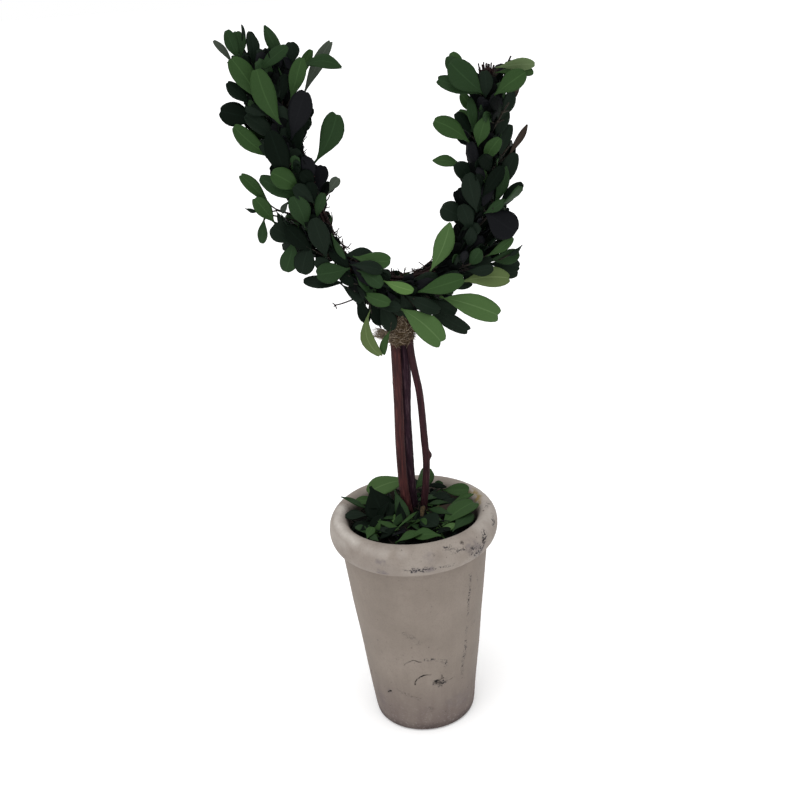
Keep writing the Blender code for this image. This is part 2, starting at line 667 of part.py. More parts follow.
def build_filling(stems: list, parts: bpy.types.Collection, cutters: bpy.types.Collection) -> None:
    """Make the plug that fills the pot and holds the stems in its sockets."""
    low = FLOOR_HEIGHT + GAP
    knee = low + FLOOR_ROUND
    profile = [(0, FILLING_TOP), (inner_radius(FILLING_TOP) - 2 * GAP, FILLING_TOP),
               (inner_radius(knee) - 2 * GAP, knee), (FLOOR_RADIUS - 1.5 * FLOOR_ROUND, low), (0, low)]
    plug = baked(turned("filling", profile, POT_STEPS, parts), parts)
    stem_cutters(stems, cutters)
    boolean(plug, "DIFFERENCE", cutters)
    dress(plug, new_material("dry_filling", (0.05, 0.035, 0.02), 0.95))


def build_stem(name: str, points: tuple, radii: tuple, parts: bpy.types.Collection) -> tuple:
    """Make one bare stem and return it with its line and radii, for the sockets."""
    line = smooth_line(points, 1)
    widths = [radii[0] + (radii[1] - radii[0]) * k / (len(line) - 1) for k in range(len(line))]
    return tube(name, line, widths, parts, resolution=2), line, widths


def add_bud(stem: bpy.types.Object, cutters: bpy.types.Collection) -> None:
    """Join the bud scar to the bowed stem."""
    bm = bmesh.new()
    bmesh.ops.create_icosphere(bm, subdivisions=1, radius=BUD_RADIUS, matrix=Matrix.Translation(BUD_AT))
    link_mesh("bud", bm, cutters)
    boolean(stem, "UNION", cutters)


def build_twine(stems: list, parts: bpy.types.Collection,
                cutters: bpy.types.Collection) -> bpy.types.Object:
    """Make the jute wrap: a turned sleeve with one bulge a turn, clear of the stems inside it."""
    high = TWINE_LOW + TWINE_TURNS * TWINE_PITCH
    profile = [(0, high)]
    for turn in range(TWINE_TURNS):
        profile.append((TWINE_RADIUS, high - turn * TWINE_PITCH))
        profile.append((TWINE_RADIUS + TWINE_BULGE, high - (turn + 0.5) * TWINE_PITCH))
    sleeve = turned("twine_wrap", [*profile, (TWINE_RADIUS, TWINE_LOW), (0, TWINE_LOW)], TWINE_STEPS, parts)
    sleeve.scale = (1, TWINE_DEPTH_SHARE, 1)
    sleeve.location = TWINE_CENTRE
    bpy.context.view_layer.update()
    sleeve = baked(sleeve, parts)
    stem_cutters(stems, cutters)
    boolean(sleeve, "DIFFERENCE", cutters)
    dress(sleeve, new_material("jute", (0.24, 0.18, 0.12), 0.95))
    return sleeve


def vine_profile(collection: bpy.types.Collection) -> bpy.types.Object:
    """Draw the lobed outline of a bundle of vine twigs, of radius 1."""
    curve = bpy.data.curves.new("vine_outline", "CURVE")
    curve.dimensions = "2D"
    spline = curve.splines.new("POLY")
    count = 2 * VINE_LOBES
    spline.points.add(count - 1)
    for k, knot in enumerate(spline.points):
        radius = 1 if k % 2 == 0 else VINE_LOBE_DEPTH
        turn = math.tau * k / count
        knot.co = (radius * math.cos(turn), radius * math.sin(turn), 0, 1)
    spline.use_cyclic_u = True
    outline = bpy.data.objects.new("vine_outline", curve)
    outline.hide_render = True
    outline.display_type = "WIRE"
    collection.objects.link(outline)
    return outline


def build_vine(line: Line, parts: bpy.types.Collection, cutters: bpy.types.Collection) -> list:
    """Make the limbs of the U, split at its bends, each tapering towards the tops of the arms."""
    outline = vine_profile(cutters)
    bark = new_material("vine_bark", (0.07, 0.04, 0.032), 0.85)
    limbs = []
    for name, (start, end) in LIMBS.items():
        points = line.cut(start, end, VINE_STEP, GAP / 2)
        widths = []
        for point in points:
            away = abs(line.nearest(point) - 0.5) * 2
            widths.append(VINE_RADIUS * (1 - (1 - VINE_TIP_SHARE) * away))
        limb = tube(name, points, widths, parts, profile=outline)
        dress(limb, bark)
        limbs.append(limb)
    bpy.data.objects.remove(outline, do_unlink=True)
    return limbs


def mound_height(radius: float) -> float:
    """Return the height of the mound's surface at a radius."""
    return BED_CROWN - BED_FALL * (radius / BED_RADIUS) ** BED_CURVE


def lay_leaf(garden: Garden, leaf: Leaf, mound: bpy.types.Collection) -> None:
    """Lay a leaf on the mound, on a twig of its own where its root stands above the surface."""
    surface = mound_height(leaf.root.xy.length)
    foot = Vector((leaf.root.x, leaf.root.y, surface - BED_FOOT_DEPTH))
    makers = leaf_parts(leaf, foot)
    garden.place("leaf_bed", makers if leaf.root.z > surface - BED_SINK / 2 else makers[:1], mound)


def build_bed(garden: Garden, stems: list, parts: bpy.types.Collection,
              cutters: bpy.types.Collection) -> None:
    """Make the bed: a low mound with the loose leaves that lie on it fused on."""
    low = FILLING_TOP + GAP
    profile = [(share * BED_RADIUS, mound_height(share * BED_RADIUS)) for share in BED_RINGS]
    profile += [(BED_RADIUS, low + 2 * GAP), (BED_RADIUS - 2 * GAP, low), (0, low)]
    mound = baked(turned("leaf_bed", profile, BED_STEPS, parts), parts)
    stem_cutters(stems, cutters)
    boolean(mound, "DIFFERENCE", cutters)
    for row in BED_LEAVES:
        lay_leaf(garden, read_leaf(row, BED_UPWARD), cutters)
    draw = random.Random(SEED)
    for order in range(SPRINKLE_LEAVES):
        radius = SPRINKLE_SPREAD * BED_RADIUS * math.sqrt((order + 0.5) / SPRINKLE_LEAVES)
        turn = order * SPRINKLE_TURN + draw.uniform(-SPRINKLE_JITTER, SPRINKLE_JITTER)
        root = Vector((radius * math.cos(turn), radius * math.sin(turn), mound_height(radius) - BED_SINK))
        heading = draw.uniform(0, math.tau)
        aim = Vector((math.cos(heading), math.sin(heading), draw.uniform(*SPRINKLE_RISE))).normalized()
        length = draw.uniform(*SPRINKLE_LENGTH)
        width = length * draw.uniform(*SPRIG_BREADTH)
        tilt = [draw.uniform(-SPRINKLE_TILT, SPRINKLE_TILT) for axis in "xy"]
        lay_leaf(garden, Leaf(root + aim * length, root, width, Vector((*tilt, 1))), cutters)
    boolean(mound, "UNION", cutters)
    keep_outer_shell(mound)
    dress(mound, new_material("bed_leaves", (0.035, 0.065, 0.025), 0.6), 25)


def build_foliage(garden: Garden, line: Line, stems: list, parts: bpy.types.Collection,
                  cutters: bpy.types.Collection) -> None:
    """Grow the masses of leaves: the hand-placed leaves of all of them first, then the seeded sprigs."""
    cores = {}
    growing = {}
    for name, mass in MASSES.items():
        cores[name] = sheath(name, mass, line, stems, parts, cutters)
        garden.placed[name] = [tree_of_object(cores[name])]
        growing[name] = new_collection(name + "_sprigs")
    for name, mass in MASSES.items():
        for row in FRONT_LEAVES[name]:
            leaf = read_leaf(row, TOWARDS_VIEWER)
            garden.place(name, leaf_parts(leaf, foot_for(leaf.root, line, mass)), growing[name])
    for name, mass in MASSES.items():
        for order in range(mass.sprigs):
            grow_sprig(garden, name, line, order, growing[name])
    colour = new_material("boxwood_leaves", (0.045, 0.09, 0.035), 0.5)
    for name, core in cores.items():
        boolean(core, "UNION", growing[name])
        bpy.data.collections.remove(growing[name])
        keep_outer_shell(core)
        dress(core, colour, 25)


def main() -> None:
    """Build the whole plant with its pot."""
    clear_scene()
    parts = new_collection(NAME)
    cutters = new_collection("cutters")
    garden = Garden()
    pot = build_pot(parts)
    bark = new_material("stem_bark", (0.075, 0.035, 0.032), 0.75)
    stems = []
    for name, points, radii in STEMS:
        stem, line, widths = build_stem(name, points, radii, parts)
        if name == "stem_right":
            add_bud(stem, cutters)
        dress(stem, bark)
        garden.keep_clear_of(stem)
        stems.append((line, widths))
    garden.keep_clear_of(pot)
    build_filling(stems, parts, cutters)
    garden.keep_clear_of(build_twine(stems, parts, cutters))
    u_line = Line(U_LINE)
    for limb in build_vine(u_line, parts, cutters):
        garden.keep_clear_of(limb)
    build_bed(garden, stems, parts, cutters)
    build_foliage(garden, u_line, stems, parts, cutters)


main()
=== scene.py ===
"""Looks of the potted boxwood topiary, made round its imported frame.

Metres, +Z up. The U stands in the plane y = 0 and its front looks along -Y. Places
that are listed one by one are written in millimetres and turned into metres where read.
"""

import logging
import math
import random
from collections.abc import Callable, Iterable
from dataclasses import dataclass, field
from enum import Enum

import bmesh
import bpy
import numpy as np
from mathutils import Matrix, Vector, noise


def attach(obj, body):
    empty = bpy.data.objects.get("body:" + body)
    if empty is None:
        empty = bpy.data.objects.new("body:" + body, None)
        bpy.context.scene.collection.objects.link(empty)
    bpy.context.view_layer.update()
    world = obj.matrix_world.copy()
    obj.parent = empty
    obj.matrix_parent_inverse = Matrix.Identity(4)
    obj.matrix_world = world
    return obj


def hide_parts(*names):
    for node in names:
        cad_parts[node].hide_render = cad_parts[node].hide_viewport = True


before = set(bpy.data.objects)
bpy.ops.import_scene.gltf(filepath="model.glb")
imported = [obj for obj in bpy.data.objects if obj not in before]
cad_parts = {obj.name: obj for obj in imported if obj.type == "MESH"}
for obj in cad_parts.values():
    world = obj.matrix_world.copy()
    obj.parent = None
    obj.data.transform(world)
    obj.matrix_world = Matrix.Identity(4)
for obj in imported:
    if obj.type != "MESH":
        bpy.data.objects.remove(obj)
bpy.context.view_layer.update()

LOG = logging.getLogger("topiary")
MM = 0.001
SEED = 41
BODY = "root"

Triple = tuple[float, float, float]
Pair = tuple[float, float]
Colour = tuple[int, int, int]
Socket = bpy.types.NodeSocket


def tint(red: float, green: float, blue: float) -> Triple:
    """Turn a display colour of 0 to 255 into the linear one that a shader takes."""
    shares = (red / 255, green / 255, blue / 255)
    return tuple(c / 12.92 if c < 0.04045 else ((c + 0.055) / 1.055) ** 2.4 for c in shares)


@dataclass(frozen=True)
class LeafFinish:
    """One colour of leaf, with its rib, as display colours."""

    blade: Colour
    rib: Colour
    roughness: float = 0.62
    gloss: float = 0.13


class Tone(Enum):
    """The colours that the leaves are dealt, each under the letter that the rows of leaves use."""

    PALE = ("P", LeafFinish((88, 106, 69), (101, 118, 81)))
    LIGHT = ("L", LeafFinish((66, 93, 50), (80, 106, 63)))
    BRIGHT = ("B", LeafFinish((43, 68, 32), (53, 79, 41)))
    MID = ("M", LeafFinish((31, 53, 26), (38, 61, 33)))
    DARK = ("D", LeafFinish((19, 30, 21), (24, 35, 26), 0.55, 0.07))
    # DEEP, BLACK and SHADE are near-black tones that paint shade: leaves dealt them stand for the dark
    # hollows inside the foliage and the bed.
    DEEP = ("E", LeafFinish((9, 18, 11), (13, 23, 16), 0.6, 0.04))
    BLACK = ("K", LeafFinish((17, 18, 21), (20, 21, 24), 0.5, 0.06))
    SHADE = ("S", LeafFinish((9, 12, 11), (12, 15, 13), 0.7, 0.03))
    OLIVE = ("O", LeafFinish((82, 98, 57), (98, 114, 72)))
    YELLOW = ("Y", LeafFinish((78, 108, 56), (94, 124, 70)))
    GREY = ("G", LeafFinish((64, 72, 62), (76, 84, 74), 0.7))
    BROWN = ("N", LeafFinish((50, 42, 36), (62, 52, 46), 0.7, 0.06))

    def __init__(self, letter: str, finish: LeafFinish) -> None:
        """Keep the letter and the finish."""
        self.letter = letter
        self.finish = finish

    @property
    def slot(self) -> int:
        """The place of this tone's blade among a leaf piece's materials; its rib comes next."""
        return 2 * list(Tone).index(self)


class Shape(Enum):
    """What a leaf's tip and blade do, under the letter that the rows of leaves use."""

    PLAIN = ""
    NOTCHED = "n"
    POINTED = "p"
    CUPPED = "c"
    SPOON = "s"
    LANCE = "l"


def tone_of(letter: str) -> Tone:
    """Return the tone with a letter."""
    return next(tone for tone in Tone if tone.letter == letter)


class Recipe:
    """A material under way: each call adds a node and returns the socket that it gives."""

    def __init__(self, name: str, roughness: float = 0.8, specular: float = 0.3) -> None:
        """Start a material.

        Args:
            name: Its name.
            roughness: Its roughness where nothing feeds that socket.
            specular: How much it reflects.
        """
        self.material = bpy.data.materials.new(name)
        self.material.use_nodes = True
        self.tree = self.material.node_tree
        self.shader = self.tree.nodes["Principled BSDF"]
        self.shader.inputs["Roughness"].default_value = roughness
        self.shader.inputs["Specular IOR Level"].default_value = specular
        self.place = self.tree.nodes.new("ShaderNodeTexCoord").outputs["Object"]

    def add(self, kind: str, inputs: dict, output: int | str = 0, **settings: object) -> Socket:
        """Add one node.

        Args:
            kind: The node's type without its ShaderNode prefix.
            inputs: Each input's name or number, with a value or the socket that feeds it.
            output: The name or number of the output wanted.
            **settings: The node's own properties.

        Returns:
            The output socket.
        """
        node = self.tree.nodes.new("ShaderNode" + kind)
        for key, value in settings.items():
            setattr(node, key, value)
        for key, value in inputs.items():
            if isinstance(value, Socket):
                self.tree.links.new(value, node.inputs[key])
            else:
                node.inputs[key].default_value = value
        return node.outputs[output]

    def stretched(self, scale: Triple) -> Socket:
        """Return the piece's own coordinates, scaled apart on each axis."""
        return self.add("Mapping", {"Vector": self.place, "Scale": scale})

    def noise(self, scale: float, detail: float = 4, stretch: Triple = (1, 1, 1),
              roughness: float = 0.55) -> Socket:
        """Return noise from 0 to 1 on the piece's coordinates."""
        return self.add("TexNoise", {"Vector": self.stretched(stretch), "Scale": scale, "Detail": detail,
                                     "Roughness": roughness})

    def span(self, value: object, low: float, high: float, to_low: float = 0,
             to_high: float = 1) -> Socket:
        """Map a value from one range to another, held at its ends."""
        return self.add("MapRange", {"Value": value, "From Min": low, "From Max": high, "To Min": to_low,
                                     "To Max": to_high})

    def times(self, a: object, b: object, operation: str = "MULTIPLY") -> Socket:
        """Return a times b, or another operation on them."""
        return self.add("Math", {0: a, 1: b}, operation=operation)

    def ramp(self, value: object, stops: Iterable[tuple[float, Colour]]) -> Socket:
        """Turn a value into a colour.

        Args:
            value: The socket that is looked up.
            stops: Pairs of a place from 0 to 1 and a display colour, at least two.

        Returns:
            The colour.
        """
        node = self.tree.nodes.new("ShaderNodeValToRGB")
        self.tree.links.new(value, node.inputs[0])
        ramp = node.color_ramp
        for k, (at, colour) in enumerate(stops):
            stop = ramp.elements[k] if k < 2 else ramp.elements.new(at)
            stop.position = at
            stop.color = (*tint(*colour), 1)
        return node.outputs[0]

    def mix(self, share: object, a: object, b: object) -> Socket:
        """Lay one colour over another.

        Args:
            share: How much of the second shows, as a value or a socket.
            a: The colour below, as a display colour or a socket.
            b: The colour above.

        Returns:
            The mixed colour.
        """
        node = self.tree.nodes.new("ShaderNodeMix")
        node.data_type = "RGBA"
        for key, value in ((0, share), (6, a), (7, b)):
            if isinstance(value, Socket):
                self.tree.links.new(value, node.inputs[key])
            else:
                node.inputs[key].default_value = value if key == 0 else (*tint(*value), 1)
        return node.outputs[2]

    def near(self, place: Socket, a: Vector, b: Vector) -> Socket:
        """Return how far a place is from the straight run between two points.

        Args:
            place: The place, as a socket.
            a: One end, in metres.
            b: The other end.

        Returns:
            The distance in metres.
        """
        run = b - a
        offset = self.add("VectorMath", {0: place, 1: a}, operation="SUBTRACT")
        if run.length < 0.01 * MM:
            return self.add("VectorMath", {0: offset}, "Value", operation="LENGTH")
        share = self.add("VectorMath", {0: offset, 1: run / run.length_squared}, "Value",
                         operation="DOT_PRODUCT")
        held = self.add("Clamp", {"Value": share})
        foot = self.add("VectorMath", {0: run, "Scale": held}, operation="SCALE")
        return self.add("VectorMath", {0: offset, 1: foot}, "Value", operation="DISTANCE")

    def bump(self, height: object, distance: float, strength: float = 1.0) -> None:
        """Make the surface rise and fall with a height from 0 to 1."""
        raised = self.add("Bump", {"Height": height, "Distance": distance, "Strength": strength})
        self.tree.links.new(raised, self.shader.inputs["Normal"])

    def feed(self, name: str, value: object) -> None:
        """Link a socket, or set a value, on the shader.

        Args:
            name: The shader's input.
            value: What it takes.
        """
        if isinstance(value, Socket):
            self.tree.links.new(value, self.shader.inputs[name])
        else:
            self.shader.inputs[name].default_value = value


@dataclass(frozen=True)
class BarkFinish:
    """Bark with streaks along the limb: its dark, its common and its worn colour, and how rough it is."""

    name: str
    dark: Colour
    common: Colour
    worn: Colour
    roughness: float
    along: Triple = (1, 1, 0.07)

    def material(self) -> bpy.types.Material:
        """Mix the streaks, the worn scratches and the relief of the bark.

        Returns:
            The finished material.
        """
        recipe = Recipe(self.name, self.roughness, 0.14)
        streak = recipe.noise(900, 5, self.along)
        patch = recipe.noise(60, 3)
        base = recipe.ramp(streak, ((0.3, self.dark), (0.55, self.common), (0.78, self.worn)))
        base = recipe.mix(recipe.span(patch, 0.5, 0.7, 0, 0.6), base, self.dark)
        scratch = recipe.span(recipe.noise(320, 2, (1, 1, 0.3)), 0.69, 0.76)
        recipe.feed("Base Color", recipe.mix(recipe.times(scratch, 0.55), base, self.worn))
        recipe.feed("Roughness", recipe.span(streak, 0.3, 0.7, self.roughness - 0.12, self.roughness + 0.1))
        recipe.bump(recipe.times(streak, recipe.noise(2600, 3), "ADD"), 0.25 * MM, 0.8)
        return recipe.material


def leaf_materials() -> list[bpy.types.Material]:
    """Make the blade and the rib material of every tone, in the order of their slots.

    Returns:
        Two materials for each tone: plain base colours, with a fine grain in bump and roughness.
    """
    made = []
    for tone in Tone:
        for part, colour in (("blade", tone.finish.blade), ("rib", tone.finish.rib)):
            recipe = Recipe(f"boxwood_{tone.name.lower()}_{part}", tone.finish.roughness, tone.finish.gloss)
            recipe.feed("Base Color", (*tint(*colour), 1))
            grain = recipe.noise(1400, 3)
            recipe.feed("Roughness", recipe.span(grain, 0.3, 0.7, tone.finish.roughness - 0.1,
                                                 tone.finish.roughness + 0.1))
            recipe.bump(recipe.times(grain, recipe.noise(260, 2), "ADD"), 0.12 * MM, 0.6)
            made.append(recipe.material)
    return made


def smooth_line(points: Iterable[Triple], per_span: int) -> list[Vector]:
    """Draw a smooth curve through points in millimetres.

    Args:
        points: The given points.
        per_span: How many places to give between two of them.

    Returns:
        Points in metres on a Catmull-Rom curve.
    """
    knots = [Vector(point) * MM for point in points]
    knots = [2 * knots[0] - knots[1], *knots, 2 * knots[-1] - knots[-2]]
    line = []
    for a, b, c, d in zip(knots, knots[1:], knots[2:], knots[3:]):
        for step in range(per_span):
            t = step / per_span
            line.append(0.5 * (2 * b + (c - a) * t + (2 * a - 5 * b + 4 * c - d) * t * t
                               + (3 * b - a - 3 * c + d) * t ** 3))
    return [*line, knots[-2]]


class Line:
    """A smooth line that gives places by their share of its length."""

    def __init__(self, points: Iterable[Triple]) -> None:
        """Smooth the line and measure how far along it each of its points lies.

        Args:
            points: The given points, in millimetres.
        """
        self.points = smooth_line(points, 8)
        self.run = [0.0]
        for a, b in zip(self.points, self.points[1:]):
            self.run.append(self.run[-1] + (b - a).length)
        self.length = self.run[-1]

    def at(self, share: float) -> Vector:
        """Return the point at a share of the length.

        Args:
            share: The share; below 0 and above 1 the line runs straight on.

        Returns:
            The point.
        """
        if share < 0 or share > 1:
            end = min(max(share, 0.0), 1.0)
            return self.at(end) + self.forward(end) * (share - end) * self.length
        goal = share * self.length
        for k in range(1, len(self.run)):
            if self.run[k] >= goal:
                t = (goal - self.run[k - 1]) / (self.run[k] - self.run[k - 1])
                return self.points[k - 1].lerp(self.points[k], t)
        return self.points[-1].copy()

    def forward(self, share: float) -> Vector:
        """Return the direction of travel at a share of the length."""
        reach = 0.01
        return (self.at(min(share + reach, 1)) - self.at(max(share - reach, 0))).normalized()

    def inward(self, share: float) -> Vector:
        """Return the direction towards the inside of the U."""
        ahead = self.forward(share)
        return Vector((-ahead.z, 0, ahead.x))

    def outward(self, share: float, angle: float) -> Vector:
        """Return the direction that stands off the line at an angle from the inside of the U."""
        return self.inward(share) * math.cos(angle) + Vector((0, -1, 0)) * math.sin(angle)

    def nearest(self, point: Vector) -> float:
        """Return the share of the length that lies nearest to a point."""
        k = min(range(len(self.points)), key=lambda i: (self.points[i] - point).length)
        return self.run[k] / self.length

    def distance(self, point: Vector) -> float:
        """Return how far a point is from the line."""
        return min((knot - point).length for knot in self.points)


def frames_along(points: list[Vector], radii: list[float]) -> list[Matrix]:
    """Stand a frame on each point of a line, turned as little as may be from one to the next.

    Args:
        points: The line.
        radii: The size of the frame at each point.

    Returns:
        One matrix for each point, with its Z axis along the line.
    """
    made = []
    up = Vector((0, 1, 0.01))
    for k, point in enumerate(points):
        ahead = (points[min(k + 1, len(points) - 1)] - points[max(k - 1, 0)]).normalized()
        if abs(up.normalized().dot(ahead)) > 0.99:
            up = Vector((1, 0, 0))
        side = up.cross(ahead).normalized()
        up = ahead.cross(side)
        turn = Matrix((side * radii[k], up * radii[k], ahead * radii[k])).transposed().to_4x4()
        turn.translation = point
        made.append(turn)
    return made


def sweep(points: list[Vector], radii: list[float], sides: int,
          relief: Callable[[float, float], float] | None = None) -> bmesh.types.BMesh:
    """Extrude a ring along a line and close both ends.

    Args:
        points: The line to follow.
        radii: The radius at each point.
        sides: How many corners the ring has.
        relief: Gives the radius's factor at a turn round the limb and a share of its length.

    Returns:
        The closed limb.
    """
    frames = frames_along(points, radii)
    bm = bmesh.new()
    bmesh.ops.create_circle(bm, cap_ends=True, segments=sides, radius=1, matrix=frames[0])
    rings = [list(bm.verts)]
    rim = list(bm.edges)
    for here, there in zip(frames, frames[1:]):
        made = bmesh.ops.extrude_edge_only(bm, edges=rim)["geom"]
        rim = [edge for edge in made if isinstance(edge, bmesh.types.BMEdge) and edge.is_boundary]
        rings.append([vert for vert in made if isinstance(vert, bmesh.types.BMVert)])
        bmesh.ops.transform(bm, verts=rings[-1], matrix=there @ here.inverted())
    bmesh.ops.edgeloop_fill(bm, edges=rim)
    if relief:
        for k, (ring, turn) in enumerate(zip(rings, frames)):
            back = turn.inverted()
            for vert in ring:
                flat = back @ vert.co
                vert.co = turn @ (flat * relief(math.atan2(flat.y, flat.x), k / (len(rings) - 1)))
    bmesh.ops.recalc_face_normals(bm, faces=bm.faces)
    return bm


def bent(start: Vector, start_way: Vector, end: Vector, end_way: Vector, steps: int) -> list[Vector]:
    """Draw a bent twig's line between two places.

    Args:
        start: Where it leaves.
        start_way: How far and which way it sets off.
        end: Where it ends.
        end_way: How far and which way it arrives.
        steps: The number of spans.

    Returns:
        The points of the line.
    """
    a, b = start + start_way, end - end_way
    line = []
    for k in range(steps + 1):
        t = k / steps
        line.append(start * (1 - t) ** 3 + a * 3 * t * (1 - t) ** 2 + b * 3 * t * t * (1 - t) + end * t ** 3)
    return line


class Cluster:
    """Many small shapes gathered into one mesh."""

    def __init__(self) -> None:
        """Start with nothing gathered."""
        self.bm = bmesh.new()
        self.scratch = bpy.data.meshes.new("scratch")
        self.count = 0

    def add(self, shape: bmesh.types.BMesh, slot: int | None = None) -> None:
        """Take a shape into the cluster and free it.

        Args:
            shape: The shape.
            slot: The material slot given to its faces, or None where they have their own.
        """
        if slot is not None:
            for face in shape.faces:
                face.material_index = slot
        shape.to_mesh(self.scratch)
        shape.free()
        self.bm.from_mesh(self.scratch)
        self.count += 1


def spun(profile: Iterable[Pair], steps: int) -> bmesh.types.BMesh:
    """Spin a section round the Z axis into a closed shape.

    Args:
        profile: Pairs of radius and height that start and end on the axis.
        steps: The number of steps round.

    Returns:
        The shape, its faces pointing outwards.
    """
    bm = bmesh.new()
    verts = [bm.verts.new((radius, 0, height)) for radius, height in profile]
    edges = [bm.edges.new(pair) for pair in zip(verts, verts[1:])]
    bmesh.ops.spin(bm, geom=[*verts, *edges], cent=(0, 0, 0), axis=(0, 0, 1), dvec=(0, 0, 0), angle=math.tau,
                   steps=steps, use_merge=True, use_duplicate=False)
    bmesh.ops.remove_doubles(bm, verts=bm.verts, dist=0.01 * MM)
    bmesh.ops.recalc_face_normals(bm, faces=bm.faces)
    return bm


def tapered(*sizes: float, share: float = 1) -> list[float]:
    """Return the radii along a twig or fibre, given in mm, each times a share."""
    return [share * size * MM for size in sizes]


def polar(radius: float, turn: float, height: float) -> Vector:
    """Return the place at a radius, a turn round the Z axis and a height."""
    return Vector((radius * math.cos(turn), radius * math.sin(turn), height))


def scattered(draw: random.Random, x: Pair, y: Pair, z: Pair) -> Vector:
    """Draw a vector, one range for each axis in turn."""
    return Vector((draw.uniform(*x), draw.uniform(*y), draw.uniform(*z)))


def finish_piece(name: str, bm: bmesh.types.BMesh, materials: list[bpy.types.Material],
                 nodes: Iterable[str] = (), sharp: float = 50) -> bpy.types.Object:
    """Turn a bmesh into a piece that rides on the body.

    Args:
        name: The piece's name.
        bm: Its shape, which is freed.
        materials: Its materials, in the order of its slots.
        nodes: The CAD nodes that it stands for.
        sharp: Edges that turn by more degrees than this stay sharp.

    Returns:
        The piece.
    """
    mesh = bpy.data.meshes.new(name)
    bm.to_mesh(mesh)
    bm.free()
    for material in materials:
        mesh.materials.append(material)
    mesh.shade_smooth()
    mesh.set_sharp_from_angle(angle=math.radians(sharp))
    piece = bpy.data.objects.new(name, mesh)
    bpy.context.scene.collection.objects.link(piece)
    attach(piece, BODY)
    if nodes:
        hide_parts(*nodes)
    LOG.info("%s: %d faces", name, len(mesh.polygons))
    return piece


@dataclass
class Studio:
    """The camera at the photo's angle, a pale floor and soft light."""

    place: Triple = (0, -0.63208306, 0.48301742)
    right: Triple = (0.99744437, -0.02313825, -0.06759694)
    up: Triple = (0.07133346, 0.37590885, 0.92390696)
    forward: Triple = (-0.0040327, 0.92636772, -0.3765987)
    sensor: float = 36
    lens: float = 49.55
    floor_size: float = 14.0
    floor_drop: float = 0.2 * MM
    floor_glow: float = 0.21
    sky: float = 0.62
    lamps: tuple[tuple[str, float, Pair], ...] = (("overhead", 1.3, (14, -1)), ("window", 0.4, (40, -26)))
    lamp_spread: float = 55

    def build(self) -> None:
        """Set up the camera, the floor, the world and the lights."""
        self.aim_camera()
        self.lay_floor()
        self.light()

    def aim_camera(self) -> None:
        """Stand the camera where the photo was taken from."""
        lens = bpy.data.cameras.new("camera")
        lens.sensor_width = self.sensor
        lens.lens = self.lens
        camera = bpy.data.objects.new("camera", lens)
        turn = Matrix((self.right, self.up, [-c for c in self.forward])).transposed().to_4x4()
        turn.translation = self.place
        camera.matrix_world = turn
        bpy.context.scene.collection.objects.link(camera)
        bpy.context.scene.camera = camera

    def lay_floor(self) -> None:
        """Lay the pale floor under the pot."""
        bm = bmesh.new()
        bmesh.ops.create_grid(bm, x_segments=2, y_segments=2, size=self.floor_size,
                              matrix=Matrix.Translation((0, 0, -self.floor_drop)))
        mesh = bpy.data.meshes.new("floor")
        bm.to_mesh(mesh)
        bm.free()
        recipe = Recipe("studio_floor", 0.9, 0.1)
        paper = recipe.ramp(recipe.noise(3, 2), ((0.3, (250, 250, 250)), (0.7, (253, 253, 253))))
        recipe.feed("Base Color", paper)
        # Painted light: the floor glows a little, which lightens the shadows cast on it.
        recipe.feed("Emission Color", (1, 1, 1, 1))
        recipe.feed("Emission Strength", self.floor_glow)
        mesh.materials.append(recipe.material)
        floor = bpy.data.objects.new("floor", mesh)
        bpy.context.scene.collection.objects.link(floor)

    def light(self) -> None:
        """Light the scene from a pale sky, a wide overhead lamp and a weak one from the front."""
        scene = bpy.context.scene
        scene.view_settings.view_transform = "Standard"
        world = bpy.data.worlds.new("studio_sky")
        world.use_nodes = True
        tree = world.node_tree
        sky = tree.nodes["Background"]
        sky.inputs["Color"].default_value = (1, 1, 1, 1)
        seen = tree.nodes.new("ShaderNodeLightPath").outputs["Is Camera Ray"]
        strength = tree.nodes.new("ShaderNodeMapRange")
        strength.inputs["To Min"].default_value = self.sky
        strength.inputs["To Max"].default_value = 1.0
        tree.links.new(seen, strength.inputs["Value"])
        tree.links.new(strength.outputs["Result"], sky.inputs["Strength"])
        scene.world = world
        for name, power, lean in self.lamps:
            lamp = bpy.data.lights.new(name, "SUN")
            lamp.energy = power
            lamp.angle = math.radians(self.lamp_spread)
            thing = bpy.data.objects.new(name, lamp)
            thing.rotation_euler = (math.radians(lean[0]), math.radians(lean[1]), 0)
            scene.collection.objects.link(thing)


class Flaw(Enum):
    """What can be wrong with the clay at a place; PALE stands instead for painted highlights on the rim."""

    SPECKLE = "soot in specks"
    STAIN = "a dull stain"
    PIT = "a pit"
    CRACK = "a crack"
    # PALE marks are painted highlights along the rim's crown.
    PALE = "a pale scuff"
    MOSS = "dry moss"


@dataclass(frozen=True)
class Mark:
    """One flaw: the line that it runs along, its width, both in mm, and its strength."""

    line: tuple[Triple, ...]
    width: float
    strength: float = 1.0

    def runs(self) -> list[tuple[np.ndarray, np.ndarray]]:
        """Return the line's straight runs in metres; one point alone is a run of no length."""
        line = np.array(self.line) * MM
        return list(zip(line, line[1:] if len(line) > 1 else line))


